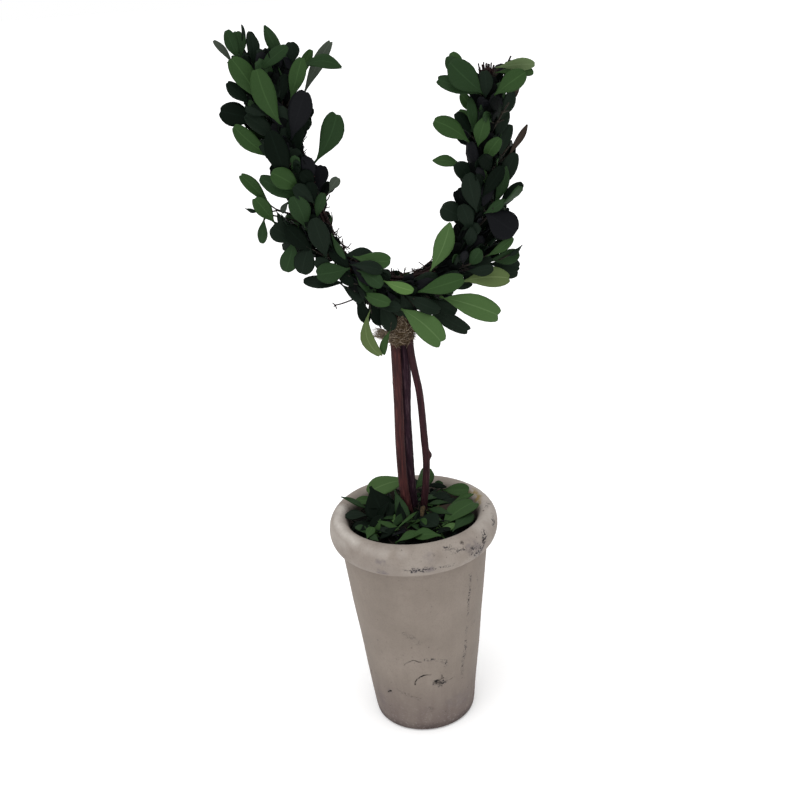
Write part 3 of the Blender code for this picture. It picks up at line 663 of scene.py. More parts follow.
MARKS = {
    Flaw.SPECKLE: (
        Mark(((-9, -52.8, 136.4), (0.9, -53.8, 135.9), (12, -52.6, 135.6), (24, -48.6, 135)), 0.9),
        Mark(((-3.5, -53.7, 136), (5.5, -53.6, 135.6)), 1.7, 1.6),
        Mark(((43.6, -30.8, 145), (42.6, -33.2, 141), (41, -35.4, 138)), 2.2, 1.7),
        Mark(((36, -40.6, 139.5), (39, -38, 136.5), (39.5, -37, 133.5)), 3.2, 1.2),
        Mark(((22, -47.8, 144.5), (30, -44, 143)), 1.4, 1.2),
        Mark(((46, -25, 134), (45.2, -21, 127), (44, -22, 119)), 1, 1.2),
        Mark(((50.6, -18.3, 145), (50, -12, 147)), 1.8, 1.4), Mark(((47, -6, 149), (49, 0, 149)), 1.6, 0.8),
        Mark(((18.1, -49, 147.2), (21, -47.6, 147.4)), 1.3),
        Mark(((33.6, -32, 118), (33.3, -31.4, 108.3), (31.9, -31.3, 98.5), (31.3, -30.8, 84)), 1.1, 0.8),
        Mark(((31.3, -30.8, 84), (29.8, -30, 70),
              (28.6, -29, 60), (26, -29.4, 50), (24.7, -29, 40.7)), 1.25, 0.85),
        Mark(((37, -26, 118), (38, -24.5, 108)), 0.7), Mark(((36, -24.6, 76),), 2.2, 0.8),
        Mark(((2, -40.4, 61), (9, -39.2, 60), (14.5, -37.4, 57), (15, -36.8, 52)), 1.1, 1.1),
        Mark(((7, -37.6, 41), (10, -37, 38.5), (13.5, -36, 41)), 2, 1.1),
        Mark(((-29, -27.5, 76), (-27, -29, 72)), 1.3, 0.8), Mark(((-34, -19.6, 70),), 1.2, 0.9),
        Mark(((-10, -42, 83), (-5, -42.4, 79)), 1.6, 0.7), Mark(((-2, -42, 76),), 1.8, 0.6),
        Mark(((-18, -33.6, 34), (-4, -36.6, 28)), 1.1, 0.6), Mark(((2, -35.6, 19),), 2.2, 0.6)),
    Flaw.STAIN: (
        Mark(((-2, -53.8, 135.4), (9, -53, 135.2)), 1.8, 0.9),
        Mark(((-23, -47.6, 133), (-19.5, -49.2, 132.6)), 1.9),
        Mark(((-23, -49, 141.4), (-20, -50.4, 141)), 1.6, 0.8),
        Mark(((34, -42, 143), (40, -36.6, 137)), 4, 0.8), Mark(((8, -52.5, 144),), 3, 0.5),
        Mark(((-23.6, -28.4, 30.4),), 1.8, 0.7), Mark(((18, -31.4, 21), (26, -24.4, 17)), 5, 0.5),
        Mark(((-30, -20, 20),), 5, 0.5)),
    Flaw.PIT: (
        Mark(((28.3, -43.9, 147.2), (29.2, -43.3, 147)), 0.7),
        Mark(((44, -31.2, 144), (42.6, -33.8, 141)), 0.7), Mark(((45.5, -16, 119.2),), 0.6, 0.8),
        Mark(((51.5, -15, 144),), 0.7, 0.8), Mark(((45, -9, 149.6),), 0.7, 0.9),
        Mark(((-8, -50, 148.4),), 0.4, 0.7), Mark(((11, -52.2, 145),), 0.4, 0.7),
        Mark(((32.0, -31.3, 99),), 0.7), Mark(((33.3, -31.3, 108.3),), 0.45, 0.9),
        Mark(((26, -29.4, 47),), 0.6, 0.8), Mark(((39.6, -21.8, 102.1),), 0.5, 0.8),
        Mark(((8.0, -37.4, 41.6), (9.9, -36.9, 39.6)), 1.5, 1.6), Mark(((11.8, -36.6, 43.4),), 0.8, 1.2),
        Mark(((-35.2, -13.9, 36.7),), 0.7), Mark(((-15, -33, 15.4),), 0.5, 0.8)),
    Flaw.CRACK: (
        Mark(((-12.4, -38, 57), (-10.6, -38.8, 59.2), (-6.4, -39.9, 61.4), (-1.5, -40.2, 59.7)), 0.38, 0.9),
        Mark(((-6.2, -37.6, 40.6), (-6.2, -38, 42.8),
              (-4.8, -38.4, 45.5), (-0.5, -39.2, 48.7), (4.6, -38.9, 48.4)), 0.42, 1.6),
        Mark(((11.6, -37.2, 46.4), (11.4, -37.2, 43), (8.6, -37.8, 43.6)), 0.45, 1.5),
        Mark(((12.4, -36.2, 39.6), (20, -33.2, 41.4)), 0.4, 0.9),
        Mark(((-25, -27.2, 29), (-22.4, -29.4, 31.4)), 0.5, 1.3)),
    # Painted highlights along the crown of the rim, on its left and on its right.
    Flaw.PALE: (
        Mark(((-46, 9, 149.6), (-48.5, -9, 149.5), (-44.5, -25, 149.5), (-37, -37, 149.2)), 3.6, 0.8),
        Mark(((-36, -38.5, 149), (-28.5, -46, 147.5), (-19, -50, 147)), 3, 0.3),
        Mark(((-53.5, -2, 144), (-50, -18, 144), (-44, -30, 145)), 5, 0.4), Mark(((-8, -52, 147),), 3, 0.25),
        Mark(((40, 30, 149.4), (49, 10, 149.4), (49, -10, 149.4), (42, -28, 149)), 5.5, 0.42)),
    Flaw.MOSS: (
        Mark(((41.4, 2, 147.5), (43, 12, 149), (40, 20, 148.5)), 2.7, 1.1),),
}


@dataclass(frozen=True)
class FlawLook:
    """How a kind of flaw shows: its colour and share, the grain that breaks it up, and its soft edge."""

    colour: Colour
    share: float
    scale: float
    detail: float
    grain: Pair
    least: float = 0.0
    core: float = 0.5
    sway: float = 1.0


LOOKS = {
    # PALE: the colour of the painted highlights on the rim.
    Flaw.PALE: FlawLook((202, 196, 189), 1, 110, 4, (0.25, 0.7), 0.45, 0.1),
    Flaw.STAIN: FlawLook((92, 85, 92), 0.55, 300, 3, (0.35, 0.6)),
    Flaw.SPECKLE: FlawLook((44, 42, 46), 0.9, 820, 3, (0.475, 0.55)),
    Flaw.PIT: FlawLook((28, 24, 24), 0.9, 820, 3, (0.32, 0.46), 0.5),
    Flaw.CRACK: FlawLook((30, 25, 24), 0.9, 820, 3, (0.34, 0.44), 0.35, sway=0.3),
    Flaw.MOSS: FlawLook((128, 110, 58), 0.8, 240, 4, (0.38, 0.56)),
}


@dataclass(frozen=True)
class ClayFinish:
    """Worn grey-brown clay: mottled, faintly streaked, pitted and sooty, darker towards the foot, with
    painted highlights on the rim and painted shade inside the mouth.
    """

    body: tuple[tuple[float, Colour], ...] = (
        (0.3, (125, 115, 106)), (0.5, (133, 123, 114)), (0.72, (142, 132, 123)))
    streaks: Colour = (112, 101, 94)
    roll_light: Colour = (168, 160, 152)
    roll_dark: Colour = (126, 116, 110)
    freckles: Colour = (106, 96, 88)
    # This colour and the next darken the clay towards the foot and along its bottom edge.
    foot_dark: Colour = (96, 84, 82)
    edge: Colour = (66, 56, 54)
    dust: Colour = (152, 142, 138)
    pores: Colour = (72, 64, 60)
    # Painted shade: the colour that the inner wall below the rim turns to.
    inside: Colour = (52, 45, 39)
    sway: float = 3.2 * MM
    reach: float = 1.6

    def marked(self, recipe: Recipe, flaw: Flaw, place: Socket) -> Socket:
        """Return how deep a place lies in the flaws of one kind.

        Args:
            recipe: The clay under way.
            flaw: The flaws' kind.
            place: The place looked at, already shifted by noise.

        Returns:
            The depth, from 0 to about 1.
        """
        found = None
        for mark in MARKS[flaw]:
            for a, b in mark.runs():
                away = recipe.near(place, Vector(a), Vector(b))
                depth = recipe.span(away, mark.width * self.reach * MM, mark.width * LOOKS[flaw].core * MM,
                                    0, mark.strength)
                found = depth if found is None else recipe.times(found, depth, "MAXIMUM")
        return found

    def material(self) -> bpy.types.Material:
        """Lay the clay's colours over one another, from the body to the flaws, among them the painted
        highlights on the rim, and the painted shade inside the mouth.

        Returns:
            The finished material.
        """
        recipe = Recipe("worn_clay_wall", 0.78, 0.2)
        height = recipe.add("SeparateXYZ", {0: recipe.place}, "Z")
        radius = recipe.add("VectorMath", {0: recipe.stretched((1, 1, 0))}, "Value", operation="LENGTH")
        cloud = recipe.noise(34, 5, roughness=0.6)
        streak = recipe.noise(170, 3, (1, 1, 0.045))
        fine, rough = recipe.noise(900, 4), recipe.noise(62, 4)
        roll = recipe.span(height, 127.5 * MM, 130.5 * MM)
        low = recipe.span(height, 62 * MM, 8 * MM, 0.12, 0.55)
        pores = recipe.add("TexVoronoi", {"Vector": recipe.place, "Scale": 290.0, "Randomness": 1.0},
                           "Distance")
        pores = recipe.times(recipe.span(pores, 0.17, 0.07), recipe.span(recipe.noise(60, 2), 0.54, 0.66))
        base = recipe.ramp(cloud, self.body)
        foot, edge = recipe.span(height, 45 * MM, 3 * MM), recipe.span(height, 7.5 * MM, 1.5 * MM)
        dust = recipe.times(recipe.span(height, 30 * MM, 4 * MM),
                            recipe.span(recipe.noise(560, 3), 0.56, 0.7))
        for cover, share, colour in (
                (recipe.span(streak, 0.4, 0.7), low, self.streaks),
                (roll, recipe.span(rough, 0.34, 0.66, 0.15, 0.5), self.roll_light),
                (roll, recipe.span(cloud, 0.54, 0.44, 0, 0.2), self.roll_dark),
                (recipe.span(fine, 0.48, 0.8), 0.3, self.freckles),
                # Darker towards the foot, and darker still along its bottom edge.
                (recipe.times(foot, recipe.span(rough, 0.3, 0.6, 0.5)), 0.85, self.foot_dark),
                (recipe.times(edge, recipe.span(rough, 0.3, 0.6, 0.6)), 0.95, self.edge),
                (dust, 0.4, self.dust),
                (pores, 0.6, self.pores)):
            base = recipe.mix(recipe.times(cover, share), base, colour)
        sway = recipe.add("TexNoise", {"Vector": recipe.place, "Scale": 420.0, "Detail": 3.0}, "Color")
        sway = recipe.add("VectorMath", {0: sway, 1: (0.5, 0.5, 0.5)}, operation="SUBTRACT")
        masks = {}
        for flaw, look in LOOKS.items():
            shift = recipe.add("VectorMath", {0: sway, "Scale": self.sway * look.sway}, operation="SCALE")
            place = recipe.add("VectorMath", {0: recipe.place, 1: shift}, operation="ADD")
            grain = recipe.span(recipe.noise(look.scale, look.detail), *look.grain, look.least)
            if flaw is Flaw.SPECKLE:
                grain = recipe.times(grain, recipe.span(recipe.noise(210, 2), 0.4, 0.56, 0.25))
            masks[flaw] = recipe.times(self.marked(recipe, flaw, place), grain)
            base = recipe.mix(recipe.times(masks[flaw], look.share), base, look.colour)
        # Painted shade: the inner wall of the mouth, from 120 to 148.5 mm high and inside a radius of 44.2
        # mm, turns towards the inside colour.
        inside = recipe.times(recipe.span(height, 148.5 * MM, 143 * MM),
                              recipe.span(height, 120 * MM, 125 * MM))
        inside = recipe.times(inside, recipe.span(radius, 44.2 * MM, 43.2 * MM))
        recipe.feed("Base Color", recipe.mix(recipe.times(inside, 0.85), base, self.inside))
        recipe.feed("Roughness", recipe.span(cloud, 0.3, 0.7, 0.62, 0.86))
        relief = recipe.times(recipe.times(fine, 0.5), recipe.times(rough, 0.5), "ADD")
        sunk = recipe.times(recipe.times(pores, masks[Flaw.PIT], "MAXIMUM"), -0.9)
        recipe.bump(recipe.times(relief, sunk, "ADD"), 0.4 * MM, 0.6)
        return recipe.material


@dataclass
class Pot:
    """The tapered clay pot under its rolled rim."""

    height: float = 150 * MM
    foot_radius: float = 33.5 * MM
    foot_round: float = 2.6 * MM
    foot_turns: tuple[int, int, int] = (-10, -91, -16)
    neck_radius: float = 47.9 * MM
    roll_radius: float = 47.7 * MM
    roll_half_width: float = 6.6 * MM
    roll_half_height: float = 10.4 * MM
    roll_first: float = 157.5
    roll_sweep: float = 225
    roll_points: int = 34
    neck_share: float = 0.95
    wall_points: int = 110
    inner_points: int = 12
    floor_height: float = 10 * MM
    floor_radius: float = 26 * MM
    floor_edge: float = 3 * MM
    steps: int = 400
    wobble: float = 0.35 * MM
    wobble_scale: float = 28
    grain: float = 0.09 * MM
    grain_scale: float = 420
    level_foot: float = 6 * MM
    pit_depth: float = 0.9 * MM
    pit_reach: float = 1.6
    deepest: float = 1.2
    depths: tuple[tuple[Flaw, float], ...] = ((Flaw.PIT, 1.0), (Flaw.CRACK, 0.35))
    finish: ClayFinish = ClayFinish()

    def profile(self) -> list[Pair]:
        """Draw the wall's section from the middle of the floor, over the rim, to the middle of the foot.

        Returns:
            Pairs of radius and height.
        """
        crown = self.height - self.roll_half_height
        low = self.floor_height + self.floor_edge
        points = [(0, self.floor_height), (self.floor_radius - self.floor_edge, self.floor_height),
                  (self.floor_radius, low)]
        inner = self.roll_radius - self.roll_half_width * math.cos(math.radians(180 - self.roll_first))
        start = crown + self.roll_half_height * math.sin(math.radians(self.roll_first))
        for k in range(1, self.inner_points):
            share = k / self.inner_points
            points.append((self.floor_radius + (inner - self.floor_radius) * share,
                           low + (start - low) * share))
        for k in range(self.roll_points + 1):
            turn = math.radians(self.roll_first - self.roll_sweep * k / self.roll_points)
            points.append((self.roll_radius + self.roll_half_width * math.cos(turn),
                           crown + self.roll_half_height * math.sin(turn)))
        neck = crown - self.neck_share * self.roll_half_height
        slope = (self.neck_radius - self.foot_radius) / neck
        for k in range(1, self.wall_points + 1):
            height = neck + (2 * self.foot_round - neck) * k / self.wall_points
            points.append((self.foot_radius + slope * height, height))
        for degrees in range(*self.foot_turns):
            turn = math.radians(degrees)
            points.append((self.foot_radius - self.foot_round + self.foot_round * math.cos(turn),
                           self.foot_round + self.foot_round * math.sin(turn)))
        return [*points, (self.foot_radius * 0.5, 0), (0, 0)]

    def build(self) -> bpy.types.Object:
        """Spin the wall, roughen it and press its flaws in.

        Returns:
            The pot.
        """
        bm = spun(self.profile(), self.steps)
        bm.normal_update()
        shifts = []
        for vert in bm.verts:
            slow = noise.noise(vert.co * self.wobble_scale) * self.wobble
            fine = noise.fractal(vert.co * self.grain_scale, 1.0, 2.0, 3) * self.grain
            free = min(1.0, vert.co.z / self.level_foot) if vert.co.xy.length > self.floor_radius else 0
            shifts.append((vert.normal * fine + vert.co.xy.to_3d().normalized() * slow) * free)
        for vert, shift in zip(bm.verts, shifts):
            vert.co += shift
        piece = finish_piece("clay_pot", bm, [self.finish.material()], ["pot"], 60)
        self.press(piece)
        return piece

    def press(self, piece: bpy.types.Object) -> None:
        """Press the pits and cracks into the wall.

        Args:
            piece: The pot.
        """
        mesh = piece.data
        places = np.zeros(len(mesh.vertices) * 3)
        mesh.vertices.foreach_get("co", places)
        places = places.reshape(-1, 3)
        depth = np.zeros(len(places))
        for flaw, share in self.depths:
            for mark in MARKS[flaw]:
                for a, b in mark.runs():
                    run = b - a
                    along = np.clip((places - a) @ run / max(run @ run, 1e-12), 0, 1)
                    away = np.linalg.norm(places - a - along[:, None] * run, axis=1)
                    deep = min(mark.strength, self.deepest) * share
                    depth = np.maximum(depth, np.clip(self.pit_reach - away / (mark.width * MM), 0, 1) * deep)
        inwards = -places * (1, 1, 0)
        inwards /= np.maximum(np.linalg.norm(inwards, axis=1), 1e-9)[:, None]
        mesh.vertices.foreach_set("co", (places + inwards * depth[:, None] * self.pit_depth).ravel())
        mesh.update()


@dataclass
class Stems:
    """The three bare stems between the pot and the U."""

    left: tuple[Triple, ...] = (
        (-3.4, -1.0, 296.4), (-3.2, -1.0, 270), (-3.3, -0.8, 250), (-3.8, -0.3, 225), (-4.6, 0.4, 200),
        (-4.8, 1.2, 180), (-4.2, 2.4, 162), (-2.5, 4.2, 146), (0.1, 5.3, 130), (0.8, 5.8, 106))
    middle: tuple[Triple, ...] = (
        (1.6, 2.9, 296.1), (1.9, 3.0, 265), (2.0, 3.6, 240), (0.5, 4.8, 215), (0.5, 5.8, 190),
        (0.6, 7.6, 168), (1.3, 10.0, 146), (3.8, 11.0, 130), (4.2, 11.4, 106))
    right: tuple[Triple, ...] = (
        (5.4, -1.5, 296.2), (5.8, -1.5, 262), (7.6, -1.3, 245), (9.4, -0.8, 232), (10.2, -0.4, 218),
        (10.7, 0, 200), (11.1, 0.4, 187), (10.9, 0.8, 178), (9.6, 1.6, 164), (7.5, 2.6, 148),
        (7.0, 3.0, 130), (7.0, 3.2, 106))
    left_radii: Pair = (2.9 * MM, 3.1 * MM)
    middle_radii: Pair = (3.3 * MM, 2.5 * MM)
    right_radii: Pair = (2.2 * MM, 2.3 * MM)
    sides: int = 26
    per_span: int = 12
    ridges: int = 7
    ridge_height: float = 0.022
    rough: float = 0.022
    middle_rough: float = 0.05
    grain_scale: float = 520
    bud_height: float = 187 * MM
    bud_spread: float = 3.6 * MM
    bud_turn: float = 0.6
    bud_rise: float = 0.75
    bud_steepness: float = 2.2
    node_height: float = 238 * MM
    node_step: float = 20 * MM
    node_spread: float = 2 * MM
    node_rise: float = 0.05
    finishes: tuple[BarkFinish, ...] = (
        BarkFinish("left_stem_bark", (40, 19, 22), (68, 36, 36), (100, 58, 54), 0.62),
        BarkFinish("middle_stem_bark", (28, 14, 23), (50, 29, 40), (90, 72, 78), 0.78),
        BarkFinish("right_stem_bark", (30, 12, 17), (52, 26, 31), (78, 45, 49), 0.62))

    def lines(self) -> list[tuple[str, list[Vector], Pair]]:
        """Draw the stems' centre lines.

        Returns:
            Each stem's name, line and end radii.
        """
        return [(name, smooth_line(points, self.per_span), radii) for name, points, radii in (
            ("left", self.left, self.left_radii), ("middle", self.middle, self.middle_radii),
            ("right", self.right, self.right_radii))]

    def build(self) -> list[bpy.types.Object]:
        """Sweep the three stems with their ridges and the bud scar.

        Returns:
            The three pieces.
        """
        made = []
        for order, (name, line, radii) in enumerate(self.lines()):
            widths = [radii[0] + (radii[1] - radii[0]) * k / (len(line) - 1) for k in range(len(line))]
            bm = sweep(line, widths, self.sides, self.relief(name, order, line))
            bark = self.finishes[order].material()
            made.append(finish_piece(f"{name}_stem", bm, [bark], [f"stem_{name}"], 70))
        return made

    def relief(self, name: str, order: int, line: list[Vector]) -> Callable[[float, float], float]:
        """Return the factor on a stem's radius by turn and share of its length.

        Args:
            name: The stem.
            order: Its place among the three, which shifts the pattern.
            line: Its centre line, from the top down.

        Returns:
            A function of the turn round the stem and the share of its length.
        """
        rough = self.middle_rough if name == "middle" else self.rough

        def factor(turn: float, share: float) -> float:
            """Ridge the bark, roughen it, and raise the node and the bud.

            Args:
                turn: The turn round the stem.
                share: The share of its length.

            Returns:
                The factor.
            """
            height = line[min(round(share * (len(line) - 1)), len(line) - 1)].z
            round_it = Vector((math.cos(turn), math.sin(turn), height * 30 + order * 9))
            ridge = self.ridge_height * math.sin(self.ridges * turn + 3 * noise.noise(round_it))
            fine = Vector((round_it.x * 3, round_it.y * 3, height * self.grain_scale))
            grain = rough * noise.fractal(fine, 1.0, 2.0, 3)
            knob = 0.0
            if name == "right":
                rise = (height - self.bud_height) / self.bud_spread
                aside = (math.pi - abs(turn)) / self.bud_turn
                knob = self.bud_rise * math.exp(-self.bud_steepness * (rise ** 2 + aside ** 2))
            off = (height - self.node_height + self.node_step * order) / self.node_spread
            return 1 + ridge + grain + knob + self.node_rise * math.exp(-off ** 2)

        return factor


@dataclass(frozen=True)
class JuteFinish:
    """Dull tan jute, spun from light and dark fibres and soiled in patches."""

    name: str
    lighter: int
    stops: tuple[tuple[float, Colour], ...] = (
        (0.3, (40, 31, 24)), (0.5, (92, 77, 60)), (0.72, (142, 125, 102)))
    soiled: Colour = (70, 55, 42)
    darkest: int = 12

    def material(self) -> bpy.types.Material:
        """Mix the fibres' colours, raised as far as the finish says, and soil them.

        Returns:
            The finished material.
        """
        recipe = Recipe(self.name, 0.92, 0.1)
        fibre = recipe.noise(1500, 4, (1, 1, 3))
        stops = [(at, tuple(max(c + self.lighter, self.darkest) for c in colour))
                 for at, colour in self.stops]
        soil = recipe.span(recipe.noise(170, 2), 0.5, 0.7, 0, 0.5)
        recipe.feed("Base Color", recipe.mix(soil, recipe.ramp(fibre, stops), self.soiled))
        recipe.feed("Roughness", recipe.span(fibre, 0.2, 0.8, 0.85, 1.0))
        recipe.bump(fibre, 0.3 * MM, 0.9)
        return recipe.material


@dataclass
class Twine:
    """The jute that ties the stems under the U."""

    centre: Pair = (0.7, 0.9)
    low: float = 263.9 * MM
    turns: float = 8.4
    pitch: float = 1.62 * MM
    radius: float = 6.45 * MM
    depth_share: float = 0.95
    ply_radius: float = 0.6 * MM
    ply_offset: float = 0.42 * MM
    ply_pitch: float = 4.4 * MM
    stations: int = 44
    hairs: int = 900
    hair_length: Pair = (2, 6)
    fibre_size: Pair = (0.09, 0.24)
    hair_slots: tuple[int, ...] = (0, 0, 1, 2, 2)
    tuft_fibres: int = 150
    tuft_size: Pair = (0.12, 0.24)
    tuft_front: float = -5.4
    tuft_peak: float = -5.0
    tuft_slots: tuple[int, ...] = (0, 0, 1, 2)
    tail_fibres: int = 130
    tail_from: Triple = (-4.5, -4, 270)
    tail_to: Triple = (-15.5, -4.5, 272.5)
    first_turn: float = 2.2
    finishes: tuple[JuteFinish, ...] = (JuteFinish("jute_cord", -14), JuteFinish("jute_fibre", 18),
                                        JuteFinish("jute_tail", 50))

    def path(self, turn: float) -> Vector:
        """Find the middle of the twine.

        Args:
            turn: The number of turns from its start.

        Returns:
            The place.
        """
        wander = noise.noise(Vector((turn * 3.1, 0.5, 0)))
        radius = self.radius + (0.35 * wander + 0.5 * math.sin(math.pi * turn / self.turns)) * MM
        angle = math.tau * turn + self.first_turn
        return Vector((self.centre[0] * MM + radius * math.cos(angle),
                       self.centre[1] * MM + radius * self.depth_share * math.sin(angle),
                       self.low + self.pitch * turn + 0.7 * MM * noise.noise(Vector((turn * 2.3, 7, 0)))))

    def build(self) -> bpy.types.Object:
        """Lay two twisted plies round the stems, with loose fibres and a frayed end.

        Returns:
            The wrap.
        """
        cluster = Cluster()
        steps = round(self.turns * self.stations)
        middle = [self.path(k / self.stations) for k in range(steps + 1)]
        run = 0.0
        twists = [0.0]
        for a, b in zip(middle, middle[1:]):
            run += (b - a).length
            twists.append(math.tau * run / self.ply_pitch)
        frames = frames_along(middle, [1.0] * len(middle))
        for ply in range(2):
            line = [turn @ (polar(1, twist + math.pi * ply, 0) * self.ply_offset)
                    for turn, twist in zip(frames, twists)]
            cluster.add(sweep(line, [self.ply_radius] * len(line), 7, self.fibrous), 0)
        draw = random.Random(SEED + 7)
        for _ in range(self.hairs):
            self.hair(cluster, draw)
        for _ in range(self.tuft_fibres):
            self.tuft(cluster, draw)
        start, end = Vector(self.tail_from) * MM, Vector(self.tail_to) * MM
        for _ in range(self.tail_fibres):
            spread = scattered(draw, (-1, 1), (-1, 1), (-1, 1))
            line = bent(start + spread * MM, Vector((-4, -1, draw.uniform(-3, 2))) * MM,
                        start.lerp(end, draw.uniform(0.6, 1.05)) + spread * 2.6 * MM,
                        Vector((-2, 0, draw.uniform(-3, 3))) * MM, 5)
            size = draw.uniform(0.1, 0.24)
            cluster.add(sweep(line, tapered(1, 1, 0.9, 0.8, 0.7, 0.5, share=size), 4), 2)
        materials = [finish.material() for finish in self.finishes]
        return finish_piece("jute_wrap", cluster.bm, materials, ["twine_wrap"], 60)

    def hair(self, cluster: Cluster, draw: random.Random) -> None:
        """Lay one loose fibre on the wrap, mostly along its winding.

        Args:
            cluster: Where it goes.
            draw: The generator to draw from.
        """
        centre = Vector((self.centre[0] * MM, self.centre[1] * MM, 0))
        turn = draw.uniform(0, self.turns)
        start = self.path(turn)
        out = (start - centre).xy.to_3d().normalized()
        wind = (self.path(turn + 0.02) - start).normalized() * draw.choice((-1, 1))
        start += out * self.ply_radius * draw.uniform(0.8, 1.5)
        length = draw.uniform(*self.hair_length) * MM
        rise = Vector((0, 0, draw.uniform(-0.7, 0.8)))
        end = start + (wind + rise + out * draw.uniform(-0.35, 0.3)).normalized() * length
        end_way = (wind * 0.4 + rise + out * draw.uniform(-0.6, 1)) * length * 0.3
        line = bent(start, wind * length * 0.4, end, end_way, 3)
        size = draw.uniform(*self.fibre_size)
        cluster.add(sweep(line, tapered(1, 1, 0.8, 0.5, share=size), 3), draw.choice(self.hair_slots))

    def tuft(self, cluster: Cluster, draw: random.Random) -> None:
        """Raise one fibre of the teased-out end that lies up the front of the stems.

        Args:
            cluster: Where it goes.
            draw: The generator to draw from.
        """
        start = Vector((draw.uniform(-3.5, 5), self.tuft_front + draw.uniform(-0.5, 0.6),
                        draw.uniform(271, 278))) * MM
        peak = Vector((draw.gauss(2.4, 1.1), self.tuft_peak + draw.uniform(-0.6, 0.4),
                       draw.uniform(278, 284))) * MM
        bend = Vector((draw.uniform(-1.5, 1.5), -0.6, 3)) * MM
        size = draw.uniform(*self.tuft_size)
        line = bent(start, bend, peak, Vector((draw.uniform(-1, 1), 0, 2)) * MM, 4)
        cluster.add(sweep(line, tapered(1, 1, 0.9, 0.75, 0.5, share=size), 3), draw.choice(self.tuft_slots))

    def fibrous(self, turn: float, share: float) -> float:
        """Return the factor that makes a ply look spun from fibres."""
        return 1 + 0.13 * math.sin(5 * turn + share * 900) + 0.1 * noise.noise(Vector((turn, share * 160, 0)))


U_LINE = ((-61, 0, 428), (-56, 0, 404), (-51.5, 0, 381), (-46.5, 0, 357), (-40, 0, 335), (-30, 0, 317.5),
          (-15, 0, 306), (3, 0, 301), (20, 0, 304.5), (33, 0, 313.5), (42, 0, 326), (48, 0, 344),
          (52.5, 0, 367), (56.5, 0, 393), (59, 0, 419))


